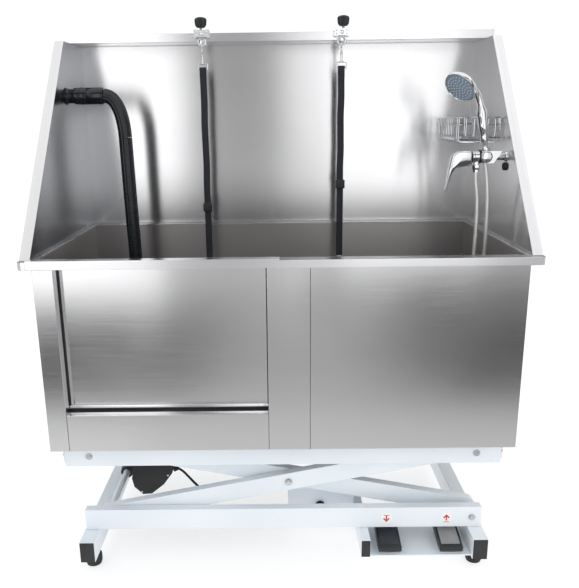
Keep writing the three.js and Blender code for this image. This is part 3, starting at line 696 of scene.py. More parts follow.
def make_bolts():
    """Bolt heads on both sides of the rails, the base frame and the scissor's pivot."""
    rail_z, base_z, pivot_z = 0.322, 0.1295, 0.226
    arm_face = 0.254
    front, rear = low("top_rail_front").y, high("top_rail_rear").y
    for name, y, facing in (("front", front, -1), ("rear", rear, 1)):
        out = (0, facing, 0)
        bolt("top_bolt_left_" + name, (-0.517, y, rail_z), out, "tub")
        bolt("top_bolt_right_" + name, (0.517, y, rail_z), out, "tub")
        bolt("base_bolt_" + name, (0.516, y, base_z), out, "base")
        bolt("centre_bolt_" + name, (0.016, facing * arm_face, pivot_z), out, "outer_arms", 8)


# -------------------- tethers
def mid(node):
    """Middle of a CAD node's box."""
    return (low(node) + high(node)) / 2


def webbing_outline(width, thick):
    """Outline of flat webbing with small chamfers."""
    w, t = width / 2, thick / 2
    c = min(0.4 * t, 0.4 * MM)
    lower = [(-w, -t + c), (-w + c, -t), (w - c, -t), (w, -t + c)]
    return lower + [(-u, -v) for u, v in lower]


def upright_circle(x, y, z, radius, count):
    """Points round a circle that faces the front."""
    return [Vector((x + radius * math.cos(a), y, z + radius * math.sin(a))) for a in turns(count)]


def make_strap(side, slider_z, ring):
    """Webbing sewn round the hook's buckle and doubled back through its slider."""
    node = "strap_" + side
    x, y = mid(node).x, mid(node).y
    bottom = low(node).z
    buckle_z = low("snap_hook_" + side).z + HOOK_WIRE
    gap, loop = 1.5 * MM, 3.4 * MM
    stitch_z = buckle_z - 34 * MM
    middle_z = (slider_z + bottom) / 2
    points = [
        (x, y - gap, stitch_z), (x, y - loop, buckle_z - 12 * MM), (x, y - loop, buckle_z),
        (x, y, buckle_z + loop), (x, y + loop, buckle_z), (x, y + loop, buckle_z - 12 * MM),
        (x, y + gap * 0.4, stitch_z - 2 * MM)]
    for k in range(1, 6):
        z = stitch_z + (slider_z - stitch_z) * k / 6
        points.append((x + 0.8 * MM * math.sin(2.1 * k), y + 0.9 * MM * math.cos(1.7 * k), z))
    points += [
        (x, y + gap, slider_z), (x, y + gap, slider_z - 40 * MM), (x, y + 1.8 * gap, middle_z),
        (x, y + gap, bottom + 14 * MM), (x, y + loop, bottom + 6 * MM), (x, y, bottom + 1 * MM),
        (x, y - loop, bottom + 6 * MM), (x, y - gap, bottom + 14 * MM), (x, y - 2 * gap, middle_z),
        (x, y - gap, slider_z - 30 * MM), (x, y - 1.6 * gap, slider_z + 16 * MM)]
    bm = bmesh.new()
    add_sweep(bm, smooth_path(points, 2.5 * MM), 0, outline=webbing_outline(20 * MM, 1.7 * MM))
    finished(bm, node + "_webbing", WEBBING, node, smooth=50, replaces=[node])
    make_stitching(side, x, y - gap - 1.05 * MM, stitch_z + 3 * MM, node)
    make_slider(side, x, y, slider_z, node)
    if ring:
        bm = bmesh.new()
        add_sweep(bm, upright_circle(x, y, bottom + 6 * MM, 9 * MM, 28), 1.5 * MM, 10, closed=True)
        finished(bm, "strap_ring_" + side, CHROME, node)


def make_stitching(side, x, y, z, body):
    """Box-and-cross stitching where the webbing is sewn back on itself."""
    bm = bmesh.new()
    half, tall = 7 * MM, 16 * MM
    corners = [Vector(c) for c in ((-half, 0), (half, 0), (half, tall), (-half, tall))]
    lines = list(zip(corners, corners[1:] + corners[:1]))
    lines += [(corners[0], corners[2]), (corners[1], corners[3])]
    for a, b in lines:
        count = max(2, round((b - a).length / (2.4 * MM)))
        for i in range(count):
            ends = [a.lerp(b, (i + share) / count) for share in (0.15, 0.8)]
            add_sweep(bm, [Vector((x + p.x, y, z + p.y)) for p in ends], 0.28 * MM, 5)
    finished(bm, "stitching_" + side, THREAD, body)


def make_slider(side, x, y, z, body):
    """Moulded tri-glide slider that the webbing is threaded through."""
    bm = bmesh.new()
    w, h, wall = 14 * MM, 13 * MM, 3.2 * MM
    front, back = y - 8.6 * MM, y + 3.5 * MM
    add_box(bm, (x - w, front, z - h), (x + w, front + wall, z + h))
    add_box(bm, (x - w, front, z - h), (x - w + wall, back, z + h))
    add_box(bm, (x + w - wall, front, z - h), (x + w, back, z + h))
    rounded_edges(bm, 1.3 * MM, 3, 40)
    reach = w - 1.5 * MM
    for dz in (-7, 0, 7):
        bar = [Vector((x + end, front, z + dz * MM)) for end in (-reach, reach)]
        add_sweep(bm, bar, 1.4 * MM, 10)
    finished(bm, "slider_" + side, PLASTIC, body)


def rounded_loop(corners, radius, place, steps=5):
    """Closed path round an outline with rounded corners. place(u, v) puts each point in space."""
    path = []
    n = len(corners)
    for i in range(n):
        c = Vector(corners[i])
        a = (Vector(corners[i - 1]) - c).normalized() * radius + c
        b = (Vector(corners[(i + 1) % n]) - c).normalized() * radius + c
        for k in range(steps + 1):
            p = bezier(a, c, b, k / steps)
            path.append(place(p.x, p.y))
    return path


def make_snap_hook(side):
    """Wire buckle, swivel and an oval spring link."""
    node = "snap_hook_" + side
    lo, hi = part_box(node)
    x, y = mid(node).x, mid(node).y
    bottom = lo.z
    top = bottom + 17 * MM
    half = 16 * MM - HOOK_WIRE
    bm = bmesh.new()
    z0, z1 = bottom + HOOK_WIRE, top - HOOK_WIRE
    buckle = rounded_loop(
        [(-half, z0), (half, z0), (half, z1), (-half, z1)], 4 * MM, lambda u, v: Vector((x + u, y, v)))
    add_sweep(bm, buckle, HOOK_WIRE, 12, closed=True)
    swivel = [
        (0, -3), (5.6, -3), (6.2, -1.6), (6.2, 0.8), (5, 2), (3.4, 2.6), (3.3, 5), (3.3, 19), (4.3, 20),
        (4.5, 23.5), (3.6, 25.4), (0, 25.8)]
    add_lathe(bm, swivel, Matrix.Translation((x, y, top)), 24)
    link = []
    for a in turns(36):
        wide = 6 * MM * (1.15 if math.cos(a) > 0 else 0.85)
        link.append(Vector((x, y + wide * math.sin(a), hi.z - 16 * MM + 14 * MM * math.cos(a))))
    add_sweep(bm, link, 2 * MM, 10, closed=True)
    gate = [(0, -1.5), (2.2, -1), (2.2, 1), (0, 1.5)]
    add_lathe(bm, gate, turned_to((0, -1, 0), (x, y - 8.2 * MM, hi.z - 21 * MM)), 12)
    for edge in (-half, half):
        leg = [Vector((x + edge, y, bottom + 4 * MM)), Vector((x + edge, y, bottom - 5 * MM))]
        add_sweep(bm, leg, HOOK_WIRE, 12)
    finished(bm, node + "_skin", NICKEL, "hook_" + side, replaces=[node])


def make_clamp(side):
    """Cast screw clamp: a butterfly front plate, two jaws over the lip and an eye below."""
    node = "clamp_" + side
    lo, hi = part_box(node)
    x = mid(node).x
    front = lo.y
    back = front + 17 * MM
    eye_z = lo.z + 14 * MM
    t, b = hi.z, eye_z + 13 * MM
    m = (t + b) / 2
    right_half = [
        (10, t - 2 * MM), (18, t), (22, t - 1 * MM), (22, t - 6 * MM), (18, m), (22, b + 6 * MM),
        (22, b + 1 * MM), (18, b), (9, b + 2 * MM)]
    outline = right_half + [(-u, z) for u, z in reversed(right_half)]
    bm = bmesh.new()
    add_prism(bm, [(x + u * MM, z) for u, z in outline], front + 1 * MM, back - 0.5 * MM)
    jaw = SPLASH_LIP - 10.4 * MM
    inside = back - 3.8 * MM
    add_box(bm, (x - 14 * MM, front + 2 * MM, t - 6 * MM), (x + 14 * MM, hi.y, t - 0.4 * MM))
    add_box(bm, (x - 7.5 * MM, inside, jaw), (x + 7.5 * MM, back - 0.4 * MM, t - 5 * MM))
    add_box(bm, (x - 11.5 * MM, inside, jaw), (x + 11.5 * MM, hi.y - 2 * MM, jaw + 9.6 * MM))
    rounded_edges(bm, 1.4 * MM, 3, 40)
    add_sweep(bm, upright_circle(x, front + 7 * MM, eye_z, 11.5 * MM, 40), 2.5 * MM, 12, closed=True)
    rivet = [(0, -3), (3.0, -3), (2.8, 0), (1.9, 0.9), (0, 1.2)]
    for u in (-15, 15):
        for z in (t - 5 * MM, b + 5 * MM):
            add_lathe(bm, rivet, turned_to((0, -1, 0), (x + u * MM, front + 1 * MM, z)), 20)
    boss = [(0, -3), (6.6, -3), (6.2, 0), (4, 1.2), (0, 1.6)]
    add_lathe(bm, boss, turned_to((0, -1, 0), (x, front + 1 * MM, m)), 28)
    finished(bm, node + "_skin", NICKEL, "clamp_" + side, replaces=[node])


def add_prism(bm, outline, y0, y1):
    """Solid between two copies of an outline drawn in XZ."""
    near = [bm.verts.new((x, y0, z)) for x, z in outline]
    far = [bm.verts.new((x, y1, z)) for x, z in outline]
    bm.faces.new(near)
    bm.faces.new(far[::-1])
    join_rings(bm, near, far)


def make_knob(side):
    """Six-lobed knob on a threaded screw."""
    node = "clamp_knob_" + side
    lo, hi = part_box(node)
    x, y = mid(node).x, mid(node).y
    bm = bmesh.new()
    lobes = 6
    shape = [
        (0.30, -28.2), (0.52, -28), (0.68, -26.4), (0.88, -23), (0.97, -19), (1, -14), (1.03, -8),
        (1.02, -4.5), (0.92, -1.6), (0.72, 0.6), (0.45, 1.8), (0.2, 2.2)]
    rings = []
    for scale, z in shape:
        ring = []
        for a in turns(lobes * 12):
            r = (15.2 + 2.2 * math.cos(lobes * a)) * scale * MM
            ring.append(bm.verts.new((x + r * math.cos(a), y + r * math.sin(a), hi.z + z * MM)))
        rings.append(ring)
    join_all(bm, rings)
    finished(bm, node + "_skin", PLASTIC, "knob_" + side, smooth=50, replaces=[node])
    bm = bmesh.new()
    thread = [(0, 0.5), (9, 0.5), (9.2, 2), (8.4, 5), (4, 6)]
    z = 7.0
    while z < (hi.z - lo.z) / MM - 28:
        thread += [(3.9, z), (3.3, z + 0.6)]
        z += 1.2
    thread.append((3.3, z))
    thread.append((0, z))
    add_lathe(bm, thread, Matrix.Translation((x, y, lo.z)), 24)
    finished(bm, "clamp_screw_" + side, ZINC, "knob_" + side, smooth=50)


# -------------------- mixer and shower
def add_taper(bm, points, sizes, sides=20, step=2.2 * MM):
    """Sweeps an oval along a smooth path.

    sizes holds the half thickness and half width in mm at equal shares of the path.
    """
    path = smooth_path(points, step)
    rings = []
    for i, (p, (side, up)) in enumerate(zip(path, frames_along(path))):
        at = i / (len(path) - 1) * (len(sizes) - 1)
        k = min(int(at), len(sizes) - 2)
        t = at - k
        t = t * t * (3 - 2 * t)
        u, v = ((a * (1 - t) + b * t) * MM for a, b in zip(sizes[k], sizes[k + 1]))
        oval = (p + side * u * math.cos(a) + up * v * math.sin(a) for a in turns(sides))
        rings.append([bm.verts.new(point) for point in oval])
    join_all(bm, rings)


def make_mixer():
    """Mixer body across the wing, its lever, outlet, cradle and the two inlets behind."""
    x, y, z = MIXER
    bm = bmesh.new()

    def along_x(profile, from_x):
        add_lathe(bm, profile, turned_to((1, 0, 0), (x + from_x * MM, y, z)), 48)

    along_x([(0, 0), (16, 0), (17, 1.2), (17, 25), (16, 27), (0, 27)], -12)
    cap = [
        (0, -18), (15.4, -18), (16, -17), (16, 14), (15.8, 17), (14.6, 19), (12, 20.2), (8, 21), (4, 21.4),
        (0, 21.5)]
    add_lathe(bm, cap, turned_to((0, -1, 0), (x, y, z)), 48)
    along_x([
        (0, 0), (15.2, 0), (16, 0.8), (16, 5), (14.8, 6), (14.8, 7), (16, 8), (16, 12), (15, 13), (15, 20),
        (0, 20)], -29.6)
    along_x([(0, 0), (10, 0), (10, 30), (13, 33), (14, 35), (14, 36.2), (0, 36.2)], 20)
    wedge = bmesh.new()
    outline = [(x + u * MM, z + v * MM) for u, v in ((2, -17), (20, -17), (41, 15), (2, 15))]
    add_prism(wedge, outline, y - 15.5 * MM, y + 15 * MM)
    rounded_edges(wedge, 3.5 * MM, 4, 30)
    finished(wedge, "mixer_wedge", CHROME, "tub")
    outlet = turned_to((0, 0, -1), (x - 22.5 * MM, y, z))
    add_lathe(bm, [(0, 10), (8.5, 10), (8.5, 22), (0, 22)], outlet, 28)
    nut = [(0, 21), (9.0, 21), (9.6, 22), (9.6, 33), (9.0, 34), (7.2, 34.5), (7.2, 41), (0, 41)]
    add_lathe(bm, nut, outlet, 6)
    cradle = [(7.2, 10), (10, 10), (11.5, 18), (12, 21.5), (11.4, 23), (9.6, 23), (8.0, 12), (7.2, 10)]
    add_lathe(bm, cradle, Matrix.Translation((x, y, z)), 32)
    finished(bm, "mixer_body_skin", CHROME, "tub", replaces=["mixer_body"])
    cap_ring = [(12.4, 19.2), (13.1, 20.0), (13.8, 19.4), (13.1, 18.8), (12.4, 19.2)]
    lathe_piece("mixer_cap_ring", cap_ring, (x, y, z), (0, -1, 0), RUBBER, "tub", 40)
    ring = [(0, 0), (17.4, 0), (17.9, 0.9), (17.9, 5), (17.4, 5.9), (0, 5.9)]
    lathe_piece("mixer_ring", ring, (x - 17.9 * MM, y, z), (1, 0, 0), RUBBER, "tub", 48)
    base = [(0, 0.1), (12, 0.1), (15, 0.2), (16, 1.0), (16, 5), (15.4, 5.7), (0, 5.9)]
    lathe_piece(
        "lever_base_skin", base, (x - 30 * MM, y, z), (-1, 0, 0), CHROME, "mixer_cartridge", 48,
        replaces=["lever_base"])
    make_lever(x, y, z)
    spud = [
        (0, 0), (15, 0), (15, 4), (12, 4.5), (12, 12), (9, 12.5), (9, 19), (7, 19.5), (6.5, 10), (0, 10)]
    outside = WING_FACE + 2.7 * MM
    for dy, name in ((-14, "cold"), (22, "hot")):
        at = (outside, y + dy * MM, z + 6 * MM)
        lathe_piece("inlet_" + name, spud, at, (1, 0, 0), ZINC, "tub", 6)


def make_lever(x, y, z):
    """A hood over the cartridge that narrows to a long blade, with its sides rounded over."""
    root = x - 36.3 * MM

    def at(u, v):
        return Vector((root + u * MM, z + v * MM))

    outer = [cubic(at(0, 15), at(-30, 19), at(-52, 16), at(-57, -6), i / 16) for i in range(17)]
    outer += [bezier(at(-57, -6), at(-63, -45), at(-68, -88), i / 10) for i in range(1, 11)]
    tip = [at(-67.6, -91.5), at(-65.5, -92.6), at(-63.4, -91)]
    inner = [bezier(at(-63, -88), at(-56, -45), at(-42, -29), i / 10) for i in range(11)]
    outline = outer + tip + inner + [at(-20, -25.5), at(0, -22)]
    count = len(outline)
    bm = bmesh.new()
    rings = []
    near_side = [(-1, 1), (-0.92, 0.45), (-0.75, 0.14), (-0.4, 0)]
    far_side = [(-offset, share) for offset, share in reversed(near_side)]
    for offset, share in near_side + far_side:
        ring = []
        for i, p in enumerate(outline):
            along = outline[(i + 1) % count] - outline[i - 1]
            inward = Vector((-along.y, along.x)).normalized()
            depth = min(max((z + 20 * MM - p.y) / (110 * MM), 0), 1)
            q = p + inward * share * (6 * (1 - depth) + 1.2 * depth) * MM
            half = (15 - 6.5 * depth) * MM
            ring.append(bm.verts.new((q.x, y + offset * half, q.y)))
        rings.append(ring)
    join_all(bm, rings)
    finished(bm, "mixer_lever_skin", CHROME, "mixer_lever", smooth=50, replaces=["mixer_lever"])


def cubic(a, b, c, d, t):
    """Point on a cubic curve."""
    s = 1 - t
    return a * s ** 3 + b * 3 * s * s * t + c * 3 * s * t * t + d * t ** 3


def make_handset():
    """Curved handle with a round spray head full of rubber nozzles."""
    x, y, z = MIXER
    handle = [
        (-0.5, 0, 21), (-4, 0, 38), (-9.6, 0, 79), (-17.5, 0, 122), (-28, 0, 155), (-37, -2, 168),
        (-60, -4, 185)]
    sizes = [(7, 7), (9.5, 10), (12.7, 13), (13.9, 14.5), (8.2, 10.5), (9, 12), (9, 14)]
    bm = bmesh.new()
    add_taper(bm, [Vector(MIXER) + Vector(p) * MM for p in handle], sizes, 32)
    back = head_direction()
    at = Vector((x - 83 * MM, y - 17 * MM, z + 175 * MM))
    head = [
        (0, 2.5), (41, 2.5), (42.2, 0.8), (43.6, 1.4), (44.5, 4), (44.5, 9), (42, 14), (35, 20), (26, 25),
        (14, 28), (0, 29)]
    head_at = turned_to(back, at)
    add_lathe(bm, head, head_at, 64)
    finished(bm, "handset_skin", CHROME, "handset", smooth=45, replaces=["handset"])
    spray = [(0, 0.4), (34, 0.6), (38, 1.0), (41.3, 2.0), (41.3, 3.5), (0, 3.5)]
    lathe_piece("spray_face", spray, at, back, SPRAY_FACE, "handset", 64)
    bm = bmesh.new()
    nozzle = [(0, 0), (1.9, 0), (1.6, 1.6), (0.9, 2.1), (0, 2.1)]
    for ring, count in ((0, 1), (9, 6), (17, 11), (25, 16), (33, 22)):
        for a in turns(count):
            spot = head_at @ (Vector((ring * math.cos(a), ring * math.sin(a), 1.2)) * MM)
            add_lathe(bm, nozzle, turned_to(-back, spot), 10)
    finished(bm, "spray_nozzles", PALE_DOT, "handset")
    nut = [(0, 0), (8.6, 0), (9.2, 1), (9.2, 13), (8.4, 15), (0, 15)]
    nut_at = (x - 0.6 * MM, y, z + 12.5 * MM)
    lathe_piece("handset_nut", nut, nut_at, (-0.16, 0, 1), CHROME, "handset", 12)


def head_direction():
    """The way the shower head's back points."""
    tilt, lean = math.radians(38), math.radians(35.5)
    return Vector((math.sin(tilt), math.cos(tilt) * math.sin(lean), math.cos(tilt) * math.cos(lean)))


def make_basket():
    """Welded wire basket: a flat rim, upright wires, and a grid floor."""
    lo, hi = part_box("soap_basket")
    bm = bmesh.new()
    inset = 1.5 * MM
    x0, x1, y0, y1 = lo.x + inset, hi.x - inset, lo.y + inset, hi.y - inset
    corners = [(x0, y0), (x1, y0), (x1, y1), (x0, y1)]
    for z, radius in ((hi.z - 2 * MM, 2 * MM), (hi.z - 20 * MM, 1.5 * MM), (lo.z + 14 * MM, 1.5 * MM)):
        loop = rounded_loop(corners, 12 * MM, lambda u, v: Vector((u, v, z)))
        add_sweep(bm, loop, radius, 8, closed=True)

    def basket_wire(a, b):
        """One U-shaped wire from the rim at a, under the floor, to the rim at b."""
        a, b = Vector(a), Vector(b)
        points = [(*a, hi.z - 2 * MM), (*a, lo.z + 20 * MM)]
        for share, rise in ((0.03, 4), (0.12, 1.5), (0.5, 1.5), (0.88, 1.5), (0.97, 4)):
            points.append((*a.lerp(b, share), lo.z + rise * MM))
        points += [(*b, lo.z + 20 * MM), (*b, hi.z - 2 * MM)]
        add_sweep(bm, smooth_path(points, 6 * MM), 1 * MM, 6)

    count = 15
    for i in range(count):
        y = y0 + 10 * MM + (y1 - y0 - 20 * MM) * i / (count - 1)
        basket_wire((x0, y), (x1, y))
    for i in range(4):
        x = x0 + 12 * MM + (x1 - x0 - 24 * MM) * i / 3
        basket_wire((x, y0), (x, y1))
    for x in (x0 + 28 * MM, x0 + 84 * MM):
        left, right, foot = x - 11 * MM, x + 11 * MM, lo.z + 16 * MM
        hook = rounded_loop(
            [(left, hi.z), (right, hi.z), (right, foot), (left, foot)], 8 * MM,
            lambda u, v: Vector((u, y0 - 1 * MM, v - 2 * MM)))
        add_sweep(bm, hook, 1.3 * MM, 8, closed=True)
    finished(bm, "soap_basket_wires", CHROME, "tub", replaces=["soap_basket"])
    for i, y in enumerate((y0 + 40 * MM, y1 - 40 * MM)):
        box_piece(
            "basket_tab_%d" % i, (x1 - 3 * MM, y - 9 * MM, hi.z - 26 * MM), (hi.x, y + 9 * MM, hi.z),
            CHROME, "tub", 1.2 * MM)


# -------------------- lift
def make_end_caps():
    """Moulded caps in the open ends of the skids."""
    inset = 0.8 * MM
    for node in ("skid_left", "skid_right", "skid_middle"):
        lo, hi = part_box(node)
        for end, y, out in (("front", lo.y, -1), ("rear", hi.y, 1)):
            near, far = sorted((y, y + out * 2.5 * MM))
            box_piece(
                node + "_cap_" + end, (lo.x + inset, near, lo.z + inset),
                (hi.x - inset, far, hi.z - inset), CAP, "base", 1.2 * MM)


def make_feet():
    """Turned rubber feet."""
    profile = [
        (0, 0), (17.5, 0), (20, 1.5), (22.3, 9), (22.5, 18), (22.5, 26), (21.6, 30), (19, 33), (18.4, 39.6),
        (0, 39.6)]
    for node in ("foot_front_left", "foot_front_right", "foot_rear_left", "foot_rear_right"):
        at = (mid(node).x, mid(node).y, 0)
        lathe_piece(node + "_skin", profile, at, (0, 0, 1), RUBBER, "base", 40, replaces=[node])


def make_rollers():
    """Axles with a nylon roller at each end."""
    roller = [(9.9, 0), (24, 0), (26, 1.5), (26, 14.5), (24, 16), (15, 16), (14, 15), (9.9, 15), (9.9, 0)]
    for node in ("lower_roller_axle", "upper_roller_axle"):
        lo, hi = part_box(node)
        c = mid(node)
        end = hi.y / MM - 1
        shaft = [(0, -end), (9, -end), (10, 1 - end), (10, end - 1), (9, end), (0, end)]
        lathe_piece(node + "_shaft", shaft, c, (0, 1, 0), POWDER, node, 32, replaces=[node])
        for name, y, way in (("front", lo.y, 1), ("rear", hi.y, -1)):
            lathe_piece(
                node + "_roller_" + name, roller, (c.x, y, c.z), (0, way, 0), NYLON, node, 40)


def make_actuator():
    """Motor housing with its screws, and the polished rod."""
    refined("actuator_motor", MOTOR, 3.5 * MM, 3, 35)
    refined("actuator_rod", CHROME, 1 * MM, 2, 35)
    front = low("actuator_motor").y
    for i, (x, z) in enumerate(((-0.424, 0.106), (-0.343, 0.160), (-0.336, 0.226), (-0.434, 0.196))):
        pan_screw("motor_screw_%d" % i, (x, front, z), (0, -1, 0), "actuator")


def make_control_box():
    """Control box with its cable gland and cover screws."""
    refined("control_box", POWDER, 4 * MM, 3)
    lo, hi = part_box("control_box")
    gland = [(0, 0), (13, 0), (13, 4), (10.5, 5), (10.5, 14), (8.5, 17), (4.5, 19), (0, 19)]
    lathe_piece("box_gland", gland, (0.107, lo.y, 0.116), (0, -1, 0), RUBBER, "base", 28)
    inset = 12 * MM
    left, right, bottom, top = lo.x + inset, hi.x - inset, lo.z + inset, hi.z - inset
    for i, (x, z) in enumerate(((left, top), (right, top), (right, bottom))):
        pan_screw("box_screw_%d" % i, (x, lo.y, z), (0, -1, 0), "base")


def make_pedals():
    """Sloping pedals with a ribbed rubber pad each."""
    slope = Vector((0, 103, 23)).normalized()
    up = Vector((0, -slope.z, slope.y))
    for name, pad in (("down", DARK_PAD), ("up", GREY_PAD)):
        node = "pedal_" + name
        refined(node, PLASTIC, 2 * MM, 3, 35)
        start = Vector((mid(node).x, low(node).y, low(node).z + 13 * MM))
        bm = bmesh.new()
        for k in range(22):
            along = (14 + 3.1 * k) * MM
            middle = start + slope * along + up * 0.3 * MM
            half = Vector((24 * MM, 0, 0))
            add_sweep(bm, [middle - half, middle + half], 1.1 * MM, 8)
        plate = turned_to(up, start + slope * 47 * MM)
        size = Matrix.Diagonal((50 * MM, 72 * MM, 1.6 * MM, 1))
        bmesh.ops.create_cube(bm, size=1, matrix=plate @ size)
        finished(bm, node + "_pad", pad, node)


def make_stickers():
    """Two round labels with plain arrows, one for each pedal."""
    y = low("base_rail_front").y
    disc = [(0, 0.1), (16.5, 0.1), (16.5, 0.35), (16.2, 0.45), (0, 0.45)]
    arrow = [
        (-1.9, -8), (1.9, -8), (1.9, 3.6), (6.4, -1.6), (9.2, 1.2), (0, 11), (-9.2, 1.2), (-6.4, -1.6),
        (-1.9, 3.6)]
    bar = [(-8, -11.6), (8, -11.6), (8, -10.0), (-8, -10.0)]
    for name, x, way in (("down", 0.283, -1), ("up", 0.447, 1)):
        lathe_piece(
            "label_" + name, disc, (x, y, LABEL_Z), (0, -1, 0), PAPER, "base", 48)
        pointer = [(u, way * v + 1.5) for u, v in arrow]
        line = [(u, way * v) for u, v in bar]
        for mark, outline in (("arrow_", pointer), ("arrow_bar_", line)):
            placed = [(x + u * MM, LABEL_Z + v * MM) for u, v in outline]
            bm = bmesh.new()
            add_prism(bm, placed, y - 0.75 * MM, y - 0.4 * MM)
            finished(bm, mark + name, RED, "base")


def make_retaining_angles():
    """Stainless angles that hold the tub on the ends of the front top rail."""
    rail_lo, rail_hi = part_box("top_rail_front")
    bottom, top, bolt_z = 0.303, 0.3572, 0.322
    for side, sign in (("left", -1), ("right", 1)):
        inner, outer = (rail_hi.x * sign + sign * off * MM for off in (0.6, 3.4))
        for name, y0, y1 in (("front", rail_lo.y, rail_hi.y), ("rear", -rail_hi.y, -rail_lo.y)):
            bm = bmesh.new()
            add_box(bm, (min(inner, outer), y0 + 2 * MM, bottom), (max(inner, outer), y1, top))
            rounded_edges(bm, 0.5 * MM)
            # The angles take the lighter copy of the steel, a painted highlight.
            finished(bm, "angle_%s_%s" % (side, name), STEEL_PAINTED_HIGHLIGHT, "tub")
            bolt_at = (outer, (y0 + y1) / 2, bolt_z)
            bolt("angle_bolt_%s_%s" % (side, name), bolt_at, (sign, 0, 0), "tub", 5)


# -------------------- tub details
def make_tub_details():
    """Seals, the door's folded hem, the hose grommet, panel seams and the drain."""
    refined("door_seal", RUBBER, 1 * MM)
    hem_lo = (-0.5525, DOOR_FACE - 4 * MM, DOOR_BOTTOM)
    hem_hi = (-0.0345, DOOR_FACE, DOOR_BOTTOM + 8.2 * MM)
    # The hem takes the lighter copy of the steel: a painted highlight along the door's foot.
    box_piece("door_hem", hem_lo, hem_hi, STEEL_PAINTED_HIGHLIGHT, "door", 1.8 * MM)
    # Rubber strips in the door guides: part real gasket, part painted shade along the jambs.
    for side, x in (("left", -0.5529), ("right", -0.0372)):
        seal_lo = (x, DOOR_FACE - 3.2 * MM, 0.4600)
        seal_hi = (x + 3.1 * MM, DOOR_FACE - 0.2 * MM, 0.8440)
        box_piece("door_guide_seal_" + side, seal_lo, seal_hi, RUBBER, "tub", 0.8 * MM)
    grommet = [(0, 0), (11, 0), (11, 3), (10, 6), (8.5, 7), (5, 7), (4.4, 4), (0, 4)]
    lathe_piece(
        "wing_grommet", grommet, (WING_FACE, MIXER[1], 1.0565), (-1, 0, 0), RUBBER, "tub", 32)
    make_seams()
    make_drain()


def make_seams():
    """Shadow lines where the front panels butt against each other."""
    proud, depth, half = 0.15 * MM, 0.6 * MM, 0.6 * MM
    seams = (("sill_left", "sill_panel", 0), ("sill_right", "sill_panel", 1), ("stile", "centre_stile", 1))
    for name, node, end in seams:
        lo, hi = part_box(node)
        x = (lo.x, hi.x)[end]
        near = (x - half, lo.y - proud, lo.z + 1 * MM)
        far = (x + half, lo.y + depth, hi.z - 1 * MM)
        box_piece("seam_" + name, near, far, SEAM, "tub", 0.1 * MM, 1)


def make_drain():
    """Strainer dish with its holes, and the tail under the basin."""
    c = mid("drain_strainer")
    bottom = low("drain_strainer").z
    dish = [
        (0, 3), (14, 3), (20, 3.6), (24, 12), (26, 19), (30, 20.5), (37, 20.6), (38, 21.5), (37, 23),
        (30, 23), (26, 21.6), (23.4, 14), (19, 6), (0, 5)]
    lathe_piece(
        "drain_strainer_skin", dish, (c.x, c.y, bottom), (0, 0, 1), CHROME, "drain_strainer", 48,
        replaces=["drain_strainer"])
    bm = bmesh.new()
    for ring, count in ((0, 1), (6, 6), (12, 11), (17.5, 16)):
        for a in turns(count):
            spot = (c.x + ring * MM * math.cos(a), c.y + ring * MM * math.sin(a), bottom + 5.05 * MM)
            add_lathe(bm, [(0, 0), (1.7, 0), (1.7, 0.25), (0, 0.25)], Matrix.Translation(spot), 12)
    finished(bm, "strainer_holes", PLASTIC, "drain_strainer")
    tail = [
        (28, 0), (33, 0), (33, -4), (30, -6), (30, -18), (22, -26), (20, -30), (20, -60), (18, -60),
        (18, -30), (26, -16), (28, 0)]
    lathe_piece("drain_tail", tail, (c.x, c.y, BASIN_UNDERSIDE), (0, 0, 1), CUFF, "tub", 40)


# -------------------- studio
def make_studio():
    """White surround, a pale floor, and dim and bright cards that only the shiny surfaces see."""
    world = bpy.data.worlds.new("studio")
    bpy.context.scene.world = world
    world.use_nodes = True
    background = world.node_tree.nodes["Background"]
    background.inputs["Color"].default_value = (1, 1, 1, 1)
    background.inputs["Strength"].default_value = 1.05
    n = Nodes("floor")
    n.put(Base_Color=(0.42, 0.42, 0.42, 1), Roughness=0.9, Specular_IOR_Level=0)
    n.put(Emission_Color=(1, 1, 1, 1), Emission_Strength=0.66)
    floor_reach = 14
    level_quad(quad, "floor", floor_reach, -floor_reach, floor_reach, 0, n.material)
    make_front_cards()
    make_floor_cards()
    make_rear_cards()
    black = glow("flag", "X", [(-5, 0.02), (5, 0.02)], "Z", [(0, 1), (6, 1)])
    upright_card("flag_over", -STUDIO_REACH, STUDIO_REACH, -STUDIO_REACH, 2.6, 4.6, black)
    beside = STUDIO_REACH + 0.4
    for side, x in (("left", -beside), ("right", beside)):
        side_card("flag_" + side, x, -2.8, -1.2, 0.3, 3.2, black)
    bpy.context.scene.view_settings.view_transform = "Standard"


